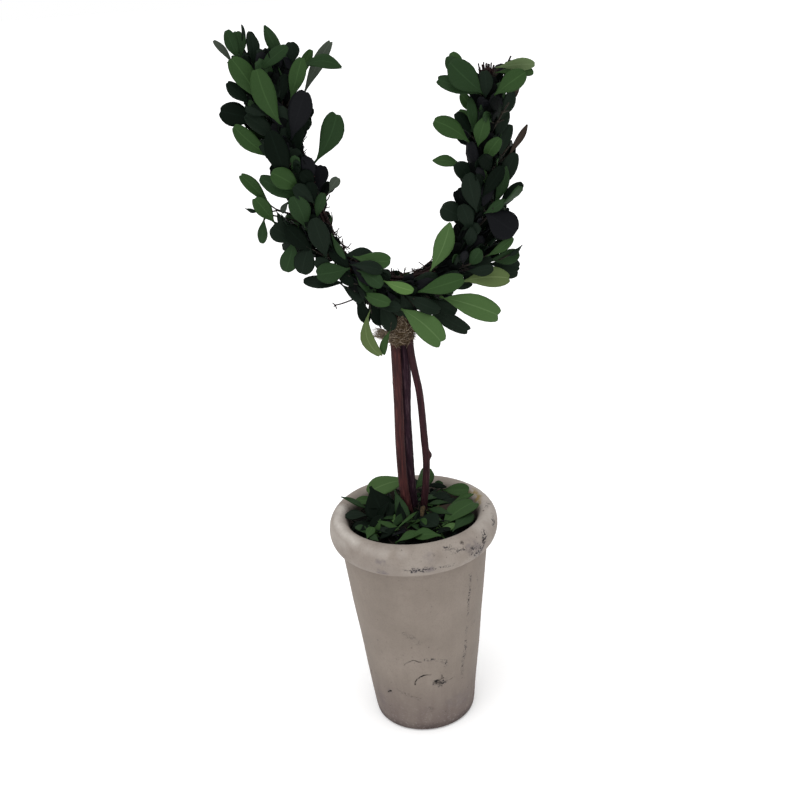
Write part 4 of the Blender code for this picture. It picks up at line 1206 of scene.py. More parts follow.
@dataclass
class Vine:
    """The bound vine twigs that bend into the U."""

    line: Line
    radius: float = 4.5 * MM
    tip_share: float = 0.86
    outer_strands: int = 22
    outer_reach: Pair = (0.6, 0.92)
    outer_start: Pair = (0, 0.02)
    outer_end: Pair = (0.985, 1.004)
    outer_lean: float = 0.3
    inner_strands: int = 5
    inner_reach: Pair = (0.05, 0.4)
    inner_size: float = 1.6
    strand_radii: Pair = (0.45 * MM, 0.85 * MM)
    stations: int = 90
    twist: float = 5.0
    loose_strands: int = 9
    loose_reach: Pair = (1.0, 1.35)
    loose_start: Pair = (0.08, 0.62)
    loose_share: Pair = (0.1, 0.28)
    loose_size: Pair = (0.4, 0.65)
    loose_lean: Pair = (-1.1, 1.1)
    loose_wander: float = 1.6
    spurs: int = 130
    spur_arms: Pair = (0.12, 0.72)
    spur_bend: Pair = (0.24, 0.52)
    spur_turn: float = 0.7
    spur_slant: Pair = (-1.4, 1.4)
    spur_lengths: tuple[float, ...] = (1.6, 2.2, 3.0, 4.2, 5.4)
    spur_foot: float = 0.85
    fork_length: float = 3.5 * MM
    cut_stubs: int = 30
    cut_length: Pair = (4.5, 8.5)
    cut_share: float = 0.985
    nodes: tuple[str, ...] = ("vine_left_arm", "vine_left_bend", "vine_base", "vine_right_bend",
                              "vine_right_arm")
    twig: Triple = (-24, -3, 294)
    fork: Triple = (-37, -3, 291)
    fork_ends: tuple[Triple, ...] = ((-38.6, -3, 292.6), (-36.4, -3, 288.6), (-38, -3.4, 290.2))
    finish: BarkFinish = BarkFinish("vine_twig_bark", (18, 10, 12), (41, 26, 26), (88, 63, 58), 0.7,
                                    (1, 1, 1))
    strays: tuple[tuple[float, tuple[Triple, ...]], ...] = (
        (0.5 * MM, ((-40.2, 0, 353), (-39.2, -1, 349.7), (-37.6, -1, 345), (-35.3, -1, 338.3),
                    (-31, -1, 328.5), (-25.5, -1, 323.9))),
        (0.45 * MM, ((-41.5, 0, 350), (-40.3, -1, 346.9), (-36.3, -1, 333.7), (-32.1, -1, 329.2),
                     (-27, -1, 323.5))),
        (0.5 * MM, ((-49.5, 0, 394), (-48.1, -1, 389.6), (-46.4, -1, 378.3), (-43, 0, 368))),
        (0.4 * MM, ((3, 0, 305.5), (5.3, -1, 306.9), (13.3, -1, 308.3), (20.2, -1, 312.6), (25.5, 0, 316.5))),
        (0.32 * MM, ((-35.6, -1, 338.3), (-34.1, -1, 341.8), (-34.3, -1, 346.4))),
        (0.36 * MM, ((-34.6, -1, 333.9), (-32.1, -1, 335.1), (-30.6, -1, 337))),
        (0.42 * MM, ((-38.5, -1, 351.5), (-35.6, -1, 354.1), (-34.3, -1, 356.6))),
        (0.36 * MM, ((-40, -1, 348), (-37.2, -1, 349), (-34.7, -1, 349.5))),
        (0.32 * MM, ((-47, -1, 378.6), (-44.2, -1, 377.4), (-42.2, -1, 378.2))),
        (0.36 * MM, ((-30, -1, 325), (-26.6, -1, 325.2), (-24.4, -1, 327.4))),
        (0.36 * MM, ((20, -1, 308), (16, -1, 311.5), (14, -1, 313.3))),
        (0.32 * MM, ((4.5, -1, 306.6), (2.2, -1, 308.5), (1.6, -1, 310.3))))

    def strand(self, draw: random.Random, reach: Pair, span: Pair, size: float,
               lean: Pair = (-math.pi, math.pi), wander: float = 0.45) -> bmesh.types.BMesh:
        """Sweep one strand along the U.

        Args:
            draw: The strand's own generator.
            reach: How far from the middle it may run, as shares of the vine's radius.
            span: The shares of the U where it starts and ends.
            size: Its radius.
            lean: The range of angles from the inside of the U where it starts.
            wander: How far it wanders off its reach.

        Returns:
            The strand.
        """
        off = draw.uniform(*reach)
        angle = draw.uniform(*lean)
        twist = self.twist * draw.choice((-1, 1)) * draw.uniform(0.5, 1.2)
        phase = draw.uniform(0, 100)
        count = max(6, round(self.stations * (span[1] - span[0])))
        points = []
        for k in range(count + 1):
            share = span[0] + (span[1] - span[0]) * k / count
            away = abs(share - 0.5) * 2
            radius = self.radius * (1 - (1 - self.tip_share) * away)
            turn = angle + twist * share + wander * noise.noise(Vector((share * 14, phase, 0)))
            swing = off + 0.24 * wander * noise.noise(Vector((share * 20, phase, 5)))
            points.append(self.line.at(share) + self.line.outward(share, turn) * radius * swing)
        radii = [size * (1 + 0.14 * noise.noise(Vector((k * 0.9, phase, 9)))) for k in range(count + 1)]
        return sweep(points, radii, 7)

    def spur(self, cluster: Cluster, start: Vector, way: Vector, length: float, draw: random.Random) -> None:
        """Grow a short bare twig that forks once.

        Args:
            cluster: Where it goes.
            start: Its foot.
            way: The way it points.
            length: Its length.
            draw: The generator to draw from.
        """
        kink = scattered(draw, (-1, 1), (-0.6, 0.6), (-1, 1)) * length * 0.3
        end = start + way * length + kink
        line = bent(start - way * MM, way * length * 0.5, end, (way * length + kink * 3) * 0.3, 4)
        size = draw.uniform(0.28, 0.5) * MM
        cluster.add(sweep(line, [size, size * 0.95, size * 0.85, size * 0.8, size * 0.7], 5))
        if length > self.fork_length:
            fork = line[2]
            side = (way + kink.normalized() * draw.choice((-1.3, 1.3))).normalized()
            cluster.add(sweep([fork, fork + side * length * 0.25, fork + side * length * 0.45 + kink * 0.2],
                              [size * 0.8, size * 0.7, size * 0.55], 4))

    def build(self) -> bpy.types.Object:
        """Bind the strands, let some stand off the inner side, and grow spurs and cut ends.

        Returns:
            The vine.
        """
        cluster = Cluster()
        draw = random.Random(SEED + 11)
        for k in range(self.inner_strands):
            cluster.add(self.strand(draw, self.inner_reach, (0, 1), self.strand_radii[1] * self.inner_size))
        for k in range(self.outer_strands):
            turn = math.tau * k / self.outer_strands
            span = (draw.uniform(*self.outer_start), draw.uniform(*self.outer_end))
            cluster.add(self.strand(draw, self.outer_reach, span, draw.uniform(*self.strand_radii),
                                    (turn, turn + self.outer_lean)))
        for k in range(self.loose_strands):
            start = draw.uniform(*self.loose_start)
            span = (start, start + draw.uniform(*self.loose_share))
            cluster.add(self.strand(draw, self.loose_reach, span, draw.uniform(*self.loose_size) * MM,
                                    self.loose_lean, self.loose_wander))
        for k in range(self.spurs):
            share = draw.uniform(*(self.spur_arms if k % 3 else self.spur_bend))
            turn = draw.gauss(0, self.spur_turn)
            off = self.line.outward(share, turn)
            way = (off + self.line.forward(share) * draw.uniform(*self.spur_slant)).normalized()
            length = draw.choice(self.spur_lengths) * MM
            self.spur(cluster, self.line.at(share) + off * self.radius * self.spur_foot, way, length, draw)
        for k in range(self.cut_stubs):
            turn = math.tau * k / self.cut_stubs
            off = self.line.outward(self.cut_share, turn)
            foot = self.line.at(self.cut_share) + off * self.radius * draw.uniform(0.1, 1.0)
            way = (self.line.forward(1) + self.line.outward(1, turn) * draw.uniform(0, 0.5)).normalized()
            head = foot + way * draw.uniform(*self.cut_length) * MM
            cluster.add(sweep([foot, foot.lerp(head, 0.5), head], tapered(0.5, 0.47, 0.43), 6))
        for size, points in self.strays:
            line = smooth_line(points, 4)
            radii = [size * (1 - 0.35 * k / len(line)) for k in range(len(line))]
            cluster.add(sweep(line, radii, 5))
        fork = Vector(self.fork) * MM
        line = bent(Vector(self.twig) * MM + Vector((6, 1, 3)) * MM, Vector((-3, 0, -2)) * MM, fork,
                    Vector((-4, 0, 0)) * MM, 6)
        cluster.add(sweep(line, [0.6 * MM - 0.03 * MM * k for k in range(7)], 5))
        for end in (Vector(point) * MM for point in self.fork_ends):
            cluster.add(sweep([fork, fork.lerp(end, 0.6), end], tapered(0.4, 0.35, 0.28), 4))
        return finish_piece("vine_strands", cluster.bm, [self.finish.material()], self.nodes, 70)


@dataclass(frozen=True)
class Leaf:
    """One blade: from its root to its tip, its width, the way its upper side looks, and its kind."""

    tip: Vector
    root: Vector
    width: float
    face: Vector
    tone: Tone
    shape: Shape = Shape.PLAIN
    sway: float | None = None


@dataclass(frozen=True)
class Cells:
    """The places of a leaf's columns across it and of its rows along it."""

    columns: tuple[float, ...]
    rows: tuple[float, ...]


FINE = Cells((-1, -0.72, -0.38, -0.055, 0.055, 0.38, 0.72, 1),
             (0, 0.07, 0.16, 0.29, 0.43, 0.56, 0.68, 0.79, 0.88, 0.95, 0.985))
COARSE = Cells((-1, -0.5, 0, 0.5, 1), (0, 0.12, 0.36, 0.62, 0.86, 0.975))


@dataclass
class LeafPress:
    """Shapes leaves out of grids."""

    petiole: float = 0.09
    stalk: float = 0.03
    cup: float = 0.42
    fold: Pair = (-0.1, 0.26)
    bow: Pair = (0.02, 0.09)
    droop: Pair = (-0.02, 0.06)
    sway: Pair = (-0.06, 0.06)
    twist: Pair = (-0.25, 0.25)
    wave: Pair = (0.01, 0.035)
    notch: Pair = (0.025, 0.04)
    faint_notches: Triple = (0, 0, 0.02)
    plain: Triple = (1.55, 0.9, 0.5)
    thickness: float = 0.4 * MM
    outlines: dict[Shape, Triple] = field(default_factory=lambda: {
        Shape.POINTED: (1.25, 1.0, 0.1), Shape.NOTCHED: (1.45, 0.8, 0.62), Shape.SPOON: (1.95, 1.0, 0.56),
        Shape.LANCE: (0.85, 1.6, 0.0)})

    def half_width(self, share: float, shape: Shape) -> float:
        """Find how wide the blade is at a place along it.

        Args:
            share: The place, as a share of its length.
            shape: The leaf's shape.

        Returns:
            The half width, as a share of its widest.
        """
        power, ease, blunt = self.outlines.get(shape, self.plain)
        blade = max(share - self.stalk, 0) / (1 - self.stalk)
        if blade <= 0:
            return self.petiole
        return max(self.petiole, math.sin(math.pi * blade ** power) ** (ease * (1 - blunt * share)))

    def blade(self, leaf: Leaf, cells: Cells, draw: random.Random) -> bmesh.types.BMesh:
        """Bend a grid into one leaf.

        Args:
            leaf: The leaf to make.
            cells: How finely it is divided.
            draw: Gives its own fold, bow, wave and twist.

        Returns:
            The leaf as a single skin, its faces given the slots of its tone.
        """
        bm = bmesh.new()
        bm.loops.layers.uv.new("leaf")
        across, along_count = len(cells.columns) - 1, len(cells.rows) - 1
        bmesh.ops.create_grid(bm, x_segments=across, y_segments=along_count, size=1, calc_uvs=True)
        for face in bm.faces:
            middle = abs(face.calc_center_median().x) < 0.5 / across
            face.material_index = leaf.tone.slot + (1 if middle and across % 2 else 0)
        along = leaf.tip - leaf.root
        length = along.length
        along.normalize()
        side = leaf.face.cross(along).normalized()
        up = along.cross(side)
        fold = draw.uniform(*self.fold)
        if leaf.shape is Shape.CUPPED:
            fold = self.cup
        bow, droop = draw.uniform(*self.bow), draw.uniform(*self.droop)
        sway = draw.uniform(*self.sway) if leaf.sway is None else leaf.sway
        twist, wave, phase = draw.uniform(*self.twist), draw.uniform(*self.wave), draw.uniform(0, math.tau)
        notch = draw.uniform(*self.notch) if leaf.shape is Shape.NOTCHED else draw.choice(self.faint_notches)
        for vert in bm.verts:
            u = cells.columns[round((vert.co.x + 1) / 2 * across)]
            v = cells.rows[round((vert.co.y + 1) / 2 * along_count)]
            half = self.half_width(v, leaf.shape) * leaf.width / 2
            reach = v - notch * max(0, 1 - abs(u) * 1.7) * max(0, (v - 0.88) / 0.105)
            spread = u * half
            lift = fold * abs(u) ** 1.3 * half * 0.8 + length * (4 * bow * v * (1 - v) - droop * v * v)
            lift += math.sin(7 * v + phase + (2 if u > 0 else 0)) * wave * length * u * u * min(v * 2, 1)
            turn = twist * (v - 0.3)
            shift = spread * math.cos(turn) + sway * length * 4 * v * (1 - v)
            rise = lift + spread * math.sin(turn)
            vert.co = leaf.root + along * reach * length + side * shift + up * rise
        return bm


@dataclass(frozen=True)
class Mass:
    """One mass of foliage: its share of the U, which way its sprigs run, and its sprig count."""

    start: float
    end: float
    flow: int
    sprigs: int


@dataclass(frozen=True)
class SprigHabit:
    """How the seeded sprigs grow; they draw in the same order as in the part's source."""

    first: float = 126
    sweep: float = 172
    golden: float = 0.618
    jitter: float = 9
    place: Pair = (0.2, 0.8)
    span: float = 0.8
    lean: Pair = (24, 38)
    reach: Pair = (15 * MM, 20 * MM)
    leaf: Pair = (15 * MM, 19 * MM)
    sink: float = 1.2 * MM
    swing: Pair = (34, 52)
    lift: Pair = (-0.1, 0.25)
    growth: Pair = (0.9, 1.12)
    breadth: Pair = (0.42, 0.5)
    blades: tuple[Triple, ...] = (
        (1.0, 0, 1.0), (0.84, 1, 0.95), (0.84, -1, 0.95), (0.4, 1, 0.85), (0.4, -1, 0.85))
    shoots: tuple[Pair, ...] = ((0.62, 1), (0.62, -1), (0.2, 1), (0.2, -1))
    shoot_length: Pair = (3 * MM, 5 * MM)
    shoot_leaf: Pair = (10 * MM, 14 * MM)
    # The near-black letters E, K and S in these tones paint shade inside the foliage.
    tones: str = "EDEKMDBM"
    shoot_tones: str = "EKSEDM"
    shoot_swing: Pair = (40, 75)
    shoot_turns: Triple = (-0.6, 0.1, 0.7)
    keep_tone: float = 0.75


@dataclass(frozen=True)
class FillHabit:
    """Seeded leaves next to the vine: how many a length, where they stand and how large they are."""

    per_share: int
    angle: Pair
    foot: Pair
    lean: Pair
    leaf: Pair
    swing: float
    front: str
    back: str
    breadth: Pair = (0.4, 0.52)
    before_start: float = 0.03


# SHADE_LEAVES lie close to the vine and are mostly near-black: painted shade for the dark inside of each
# mass. Most of COVER_LEAVES' front tones are near-black too and paint shade there.
SHADE_LEAVES = FillHabit(1050, (38, 295), (3.9 * MM, 5.2 * MM), (6, 34), (9 * MM, 15 * MM), 42,
                         "SSSKS", "SEDMKD")
COVER_LEAVES = FillHabit(130, (48, 150), (4.8 * MM, 6.4 * MM), (5, 17), (15 * MM, 22 * MM), 30,
                         "EKDEKMD", "DMBM")

MASSES = {
    "left_top_leaves": Mass(0.0, 0.105, -1, 5),
    "left_middle_leaves": Mass(0.105, 0.215, -1, 5),
    "left_low_leaves": Mass(0.215, 0.385, -1, 6),
    "base_left_leaves": Mass(0.385, 0.50, 1, 4),
    "base_right_leaves": Mass(0.50, 0.60, 1, 4),
    "right_low_leaves": Mass(0.60, 0.765, 1, 6),
    "right_middle_leaves": Mass(0.765, 0.89, 1, 5),
    "right_top_leaves": Mass(0.89, 1.0, 1, 5),
}

# Leaves that give each mass its own outline, in mm: tip, root, width, turn about the midrib, tone and shape
FRONT_LEAVES = {
    "left_top_leaves": (
        (-89, -6, 445.5, -80, -6, 432, 5.5, 42, "G"), (-81, -10, 450.5, -76, -7, 434, 7.5, 20, "M"),
        (-77, 2, 449, -76, 0, 434, 8, 20, "M"), (-74, 5, 452, -75, 3, 437, 5, 70, "Dp"),
        (-70, 8, 448, -73, 4, 432, 6, 30, "D"), (-68.5, -4, 447, -70, -4, 430, 7, 30, "D"),
        (-62, 5, 451, -52.5, 4, 430, 7.5, 10, "Mp", 0.04), (-49, -12, 440, -67, -10, 427, 7.5, 25, "M"),
        (-48, 0, 441.5, -48, 0, 429, 8.5, 0, "D"), (-20.8, -4, 426.2, -43.5, -6, 428, 8, 5, "Mp", 0.15),
        (-26, 6, 440, -44.8, 5, 411, 7, 20, "G"), (-36.9, 0, 436.6, -46, -2, 419, 6, 20, "B"),
        (-41.8, -14, 434, -50.8, -8, 411, 9, 10, "B"), (-52, -12, 426, -56, -8, 410, 7, 20, "E"),
        (-79.6, -15, 436.2, -67.5, -8, 411.2, 12.2, 0, "B"), (-66, -20, 430, -57, -9, 398, 13, 0, "B", 0.05),
        (-85, -2, 423, -73, -2, 409.5, 8.5, 20, "D")),
    "left_middle_leaves": (
        (-91, -4, 408, -70, -3, 401, 14, 5, "E"), (-41, -20, 417.5, -52.5, -9, 390, 13.5, 0, "K"),
        (-83.3, -10, 400.2, -63.5, -6, 380, 10, 0, "B"), (-63, -16, 397, -56, -9, 366, 13, 0, "E"),
        (-70, -8, 391, -58, -8, 374, 9, 0, "D"), (-77, -6, 405, -59, -7, 387, 9, 10, "D"),
        (-26.2, -4, 402.5, -43, -4, 374, 13.5, 0, "Ms", -0.08)),
    "left_low_leaves": (
        (-65, -17, 374.5, -50, -10, 362, 12, 0, "B"), (-72, -12, 371.5, -46, -8, 356, 10, 5, "M", 0.05),
        (-66, -9, 376.5, -52, -8, 366, 7, 10, "E"), (-37, 3, 373, -42, 1, 358, 9, 0, "K"),
        (-28.5, -3, 366.5, -35, -4, 357.5, 6, 10, "Gs"), (-37.5, -6, 359, -43, -8, 344, 6.5, 10, "M"),
        (-83.8, -4, 372.4, -68.5, -3, 352.5, 7.5, 10, "B"), (-76.8, -7, 359, -67, -4, 342.5, 9.5, 0, "B"),
        (-83, -7, 353.5, -76, -6, 350.5, 2.5, 0, "Dl"), (-76.3, -4, 331.5, -73, -3, 347, 6.5, 20, "M"),
        (-54, -17, 360, -49, -10, 339, 12, 0, "M"), (-44, -18, 347, -39, -9, 321, 12, 0, "D"),
        (-64, -9, 315, -57, -8, 334, 11, 0, "M"), (-54, -13, 314, -47, -9, 331, 13, 5, "D"),
        (-68.7, -9, 342.3, -57, -8, 330.5, 13, 0, "D"), (-60, -14, 343, -45, -9, 325, 10, 0, "E"),
        (-53, -16, 366, -43, -10, 354, 9, 0, "D"), (-44, -14, 367, -43, -9, 354, 8, 0, "E"),
        (-49, -13, 373, -42, -9, 363, 8, 0, "E"), (-46, -12, 322, -34, -9, 312, 8, 0, "D"),
        (-63, -3, 348.5, -58, -3, 355, 4, 20, "G"), (-35, -10, 336, -27, -8, 318, 4, 0, "Ml"),
        (-46, -12, 381, -43, -9, 366, 8, 0, "K"), (-64.7, -8, 349.5, -63, -7, 338, 3.5, 0, "Dp")),
    "base_left_leaves": (
        (-19.3, -6, 279, -24, -5, 297, 8, 20, "E"), (-10, -7, 277.5, -16, -7, 292, 7, 0, "D"),
        (-12, -14, 260.5, -16, -8.5, 288.5, 8.5, 10, "O", -0.2),
        (-11, -13, 261, -5, -11, 276, 5, 15, "B", -0.06), (-4, -17, 294, -21, -9, 300, 8, 0, "Bc"),
        (-8, -15, 304, -22, -9, 313, 9, 0, "M"), (-2, -8, 316.8, -24, -7, 321, 11, 0, "B"),
        (10, -16, 300, -8, -9, 306, 7, 0, "Y"), (-54, -10, 309.5, -29, -7, 305.5, 8, 10, "D", 0.04),
        (-46, -14, 313.5, -26, -9, 314.5, 12.5, 0, "M"), (-20, -6, 292, -33, -6, 305, 6, 0, "D"),
        (-4, -10.5, 275, -11, -8, 292, 10, 0, "D"), (-7, -11, 311.8, -26, -9, 316.5, 8, 0, "D"),
        (-12, -4, 319.5, -30, -4, 321, 8.5, 0, "D"), (-37, -9, 327, -26, -8, 310, 8, 0, "E"),
        (-24, -10, 303, -38, -8, 317, 7, 0, "Ep"), (2, -15, 290.5, -12, -10, 289.5, 7, 0, "D"),
        (-9, -9, 279, -15, -7, 295, 10, 0, "E"), (3, -10, 284, -4, -8, 297, 9, 0, "D"),
        (8, -9, 281, 2, -8.5, 298, 9, 0, "D"), (3, -9.5, 286, -6, -8.5, 300, 7, 0, "K")),
    "base_right_leaves": (
        (25, -16, 266.5, 1, -10, 288.5, 15, 0, "Ln", 0.05), (42, -3, 268.5, 15, -4, 289, 10, 20, "Dn"),
        (60.2, -10, 279.2, 25, -8, 293.2, 14.5, 0, "Ln", 0.02), (40, -17, 306, 11, -9, 297, 11, 0, "B"),
        (25, -8, 306, 9, -6, 304, 6, 15, "D"), (25, -13, 286, 4, -10, 297, 9, 0, "D"),
        (35, -6, 282, 19, -6, 292, 8, 0, "D"), (45, -6, 299.6, 29, -7, 297.6, 7, 0, "D")),
    "right_low_leaves": (
        (33.6, -10, 338, 20.3, -8, 309, 11.6, 0, "Lp", -0.05),
        (67, -10, 301.8, 38, -8, 301, 12.3, 0, "O", 0.06), (57, -14, 310, 41, -9, 308, 7, 20, "D"),
        (69.5, -9, 326, 53, -8, 315.4, 6, 15, "B"), (50, -15, 322, 43, -9, 311, 8, 0, "M"),
        (45, -14, 335, 43, -9, 321, 7, 0, "Dp"), (75.5, -3, 319.5, 66, -3, 313, 3, 20, "Dl"),
        (74, 0, 314, 55, -3, 312, 9, 10, "M"), (74.3, 4, 304.5, 55, 1, 308.5, 10, 0, "D"),
        (71, -10, 328.6, 52.5, -7, 342.5, 17.3, 0, "K", -0.02), (29, -6, 346, 42, -6, 337, 12.5, 0, "D"),
        (57, -5, 313, 41, -6, 310, 7, 0, "D"), (40, -13, 348, 45, -9, 331, 10, 0, "D"),
        (44, -19, 367, 49, -10, 342, 11, 0, "D"), (73, 4, 300, 56, 0, 305, 7, 10, "D")),
    "right_middle_leaves": (
        (25, -8, 372.9, 43, -6, 367.8, 7, 15, "Bp", -0.06), (38, -10, 371, 47, -8, 357, 10, 10, "D"),
        (27, -12, 395.5, 47, -8, 381, 11.5, 0, "B", -0.06), (40, -5, 398, 48, -5, 384, 8, 20, "D"),
        (56, -17, 397, 51, -10, 379, 9, 0, "Bp"), (63, -16, 384, 54, -10, 369, 8, 0, "B"),
        (80.5, 0, 388, 68.5, -2, 371, 5, 35, "Np"), (76, -7, 356.5, 61, -7, 344.5, 7, 0, "E"),
        (67, -6, 361, 59, -6, 345, 6, 0, "E"), (64, -14, 368, 52, -9, 350, 9, 20, "E"),
        (68.5, -2, 398, 61, -4, 380, 8, 10, "D"), (73.2, -2, 373, 62, -4, 351, 9.5, 10, "D"),
        (71, -2, 389, 63, -5, 369, 7, 20, "D"), (67, -8, 367, 59, -8, 345, 7, 10, "Mp"),
        (65, -14, 349.5, 53, -9, 341, 6, 15, "Mp")),
    "right_top_leaves": (
        (37, -14, 426, 56, -8, 407, 15, 0, "M", 0.04), (39.5, 3, 429.6, 45, 1, 416, 7, 0, "B"),
        (30, -9, 417, 55, -7, 407, 9, 5, "M"), (43.5, -3, 408, 51, -4, 395, 7, 20, "B"),
        (78, -14, 418, 61, -8, 406, 11, 0, "B"), (84.6, -6, 420.8, 63, -4, 420.3, 7.5, 40, "P", 0.07),
        (84.2, -3, 416, 62, -3, 417.5, 5, 20, "B", 0.05), (37.5, 2, 428, 44, 0, 415, 7.5, 0, "M"),
        (56, -10, 420, 56, -8, 404, 8, 0, "D"), (85, 5, 415, 68, 1, 419, 6, 20, "D"),
        (72, -4, 408, 64, -6, 392, 8, 25, "D"), (77.3, 3, 408.5, 69, -1, 399, 4, 30, "Np"),
        (48, -9, 406, 50, -8, 385, 6, 10, "M")),
}


# Open spots between the leaves, in the plane of the U as the camera sees it, in mm: x, z and radius
SKY = (
    (-65, 446, 4), (-65, 357, 4), (-41.6, 421, 2), (-71, 378, 3), (63, 424, 3), (-44, 385, 3), (-33, 352, 4),
    (-31, 339, 4), (-31, 293, 5), (-25, 284, 3), (-1, 314, 4), (8, 311, 4), (16, 313, 3), (22, 321, 4),
    (28, 330, 3), (76, 398, 6), (77, 388, 6), (75, 343, 3), (76, 325, 2), (78, 407, 3), (57, 426, 4),
    (47, 427, 4))


def read_leaf(row: tuple, towards: Vector) -> Leaf:
    """Turn a row of millimetres into a leaf.

    Args:
        row: Tip, root, width, turn about the midrib, the letters of tone and shape, and where
            it matters how far the blade curves to its side.
        towards: The way a leaf with no turn looks.

    Returns:
        The leaf.
    """
    tip, root = Vector(row[0:3]) * MM, Vector(row[3:6]) * MM
    face = Matrix.Rotation(math.radians(row[7]), 3, (tip - root).normalized()) @ towards
    tone, shape, sway = tone_of(row[8][0]), Shape(row[8][1:]), row[9] if len(row) > 9 else None
    return Leaf(tip, root, row[6] * MM, face, tone, shape, sway)


def seed_of(name: str, order: int) -> int:
    """Return the number that a mass and an order in it add to a seed."""
    return 100 * list(MASSES).index(name) + order


def thicken(piece: bpy.types.Object, thickness: float) -> None:
    """Give the single skins of a leaf piece their thickness.

    Args:
        piece: The leaves.
        thickness: How thick they become, half to each side.
    """
    solidify = piece.modifiers.new("thickness", "SOLIDIFY")
    solidify.thickness = thickness
    solidify.offset = 0


@dataclass
class Foliage:
    """The leaves and twigs of the eight masses round the U."""

    line: Line
    stems: list[tuple[str, list[Vector], Pair]]
    materials: list[bpy.types.Material]
    press: LeafPress
    habit: SprigHabit = SprigHabit()
    sheath: float = 7.2 * MM
    vine_surface: float = 3.6 * MM
    foot_back: float = 0.02
    near_gap: float = 10 * MM
    foot_margin: float = 0.008
    inward_limit: float = 62
    towards: Vector = Vector((0, -0.93, 0.37))
    eye: Vector = Vector(Studio.place)
    arm_tops: tuple[Pair, Pair] = ((-1, 450 * MM), (1, 424 * MM))
    fill_tops: tuple[Pair, Pair] = ((-1, 446 * MM), (1, 419 * MM))
    bare: tuple[Triple, ...] = ((0.16, 0.39, 68), (0.46, 0.58, 90))
    front_turn: float = 150
    clear_of_stem: float = 4.4 * MM
    clear_of_twine: float = 10.4 * MM
    clear_of_vine: float = 4.2 * MM
    stem_top: float = 300 * MM
    tested: Triple = (0.35, 0.7, 1.0)
    guarded: Triple = (0.4, 0.62, 0.84)
    guard_share: float = 0.55
    sky_share: float = 0.35
    hidden_by: float = 0.5 * MM
    twine_centre: Pair = (1.3, 0.9)
    twine_heights: Pair = (261 * MM, 281 * MM)
    finer_seed: int = 7000
    bark: BarkFinish = BarkFinish("leafy_twig_bark", (24, 19, 20), (44, 40, 34), (74, 70, 54), 0.75,
                                  (1, 1, 1))

    def clear(self, point: Vector) -> bool:
        """Say whether a point stands clear of the stems, the twine and the vine's middle.

        Args:
            point: The place.

        Returns:
            Whether it is clear.
        """
        knots = [knot for _, line, _ in self.stems for knot in line] if point.z < self.stem_top else []
        if any((knot - point).length < self.clear_of_stem for knot in knots):
            return False
        if self.twine_heights[0] < point.z < self.twine_heights[1]:
            return (point.xy - Vector(self.twine_centre) * MM).length > self.clear_of_twine
        return self.line.distance(point) > self.clear_of_vine

    def fits(self, leaf: Leaf, name: str, tops: tuple[Pair, Pair]) -> bool:
        """Say whether a seeded leaf is clear, under its arm's top and not in front of a placed leaf.

        Args:
            leaf: The seeded leaf.
            name: Its mass.
            tops: The height that each arm's leaves stay under.

        Returns:
            Whether the leaf may stay.
        """
        if leaf.tip.z > dict(tops)[math.copysign(1, leaf.tip.x)]:
            return False
        spots = [leaf.root.lerp(leaf.tip, share) for share in self.tested]
        if not all(self.clear(spot) for spot in spots):
            return False
        for spot in spots:
            seen = self.eye.lerp(spot, self.eye.y / (self.eye.y - spot.y))
            for x, z, radius in SKY:
                if math.hypot(seen.x - x * MM, seen.z - z * MM) < radius * MM + leaf.width * self.sky_share:
                    return False
        for centre, reach in self.kept[name]:
            for spot in spots:
                away = spot - centre
                depth = away.dot(self.towards)
                if depth > -self.hidden_by and (away - self.towards * depth).length < reach:
                    return False
        return True

    def keep_clear(self) -> None:
        """Note the places of the placed leaves, which no seeded leaf may hide."""
        self.kept = {}
        for name, rows in FRONT_LEAVES.items():
            self.kept[name] = []
            for row in rows:
                leaf = read_leaf(row, self.towards)
                for share in self.guarded:
                    self.kept[name].append((leaf.root.lerp(leaf.tip, share), leaf.width * self.guard_share))

    def foot_of(self, root: Vector, mass: Mass) -> tuple[Vector, Vector]:
        """Find where the twig of a placed leaf leaves the vine.

        Args:
            root: The leaf's root.
            mass: The mass that it belongs to.

        Returns:
            The place on the vine, and the way along it there.
        """
        gap = self.line.distance(root)
        back = self.foot_back + max(0, gap - self.near_gap) / self.line.length
        share = self.line.nearest(root) - mass.flow * back
        share = min(max(share, mass.start + self.foot_margin), mass.end - self.foot_margin)
        off = root - self.line.at(share)
        angle = math.atan2(-off.y, off.dot(self.line.inward(share)))
        limit = math.radians(self.inward_limit)
        if abs(angle) < limit:
            angle = math.copysign(limit, angle)
        return (self.line.at(share) + self.line.outward(share, angle) * self.vine_surface,
                self.line.forward(share) * mass.flow)

    def grow_front(self, name: str, mass: Mass, leaves: Cluster, twigs: Cluster) -> None:
        """Place the leaves that have a place of their own, each on its own twig.

        Args:
            name: The mass.
            mass: Its share of the U.
            leaves: Where blades go.
            twigs: Where twigs go.
        """
        for order, row in enumerate(FRONT_LEAVES[name]):
            draw = random.Random(SEED * 3 + seed_of(name, order))
            leaf = read_leaf(row, self.towards)
            leaves.add(self.press.blade(leaf, FINE, draw))
            foot, ahead = self.foot_of(leaf.root, mass)
            gap = (leaf.root - foot).length
            along = (leaf.tip - leaf.root).normalized()
            line = bent(foot, ahead * gap * 0.4, leaf.root + along * 2.5 * MM, along * gap * 0.4, 6)
            twigs.add(sweep(line, [(0.66 - 0.04 * k) * MM for k in range(7)], 6))

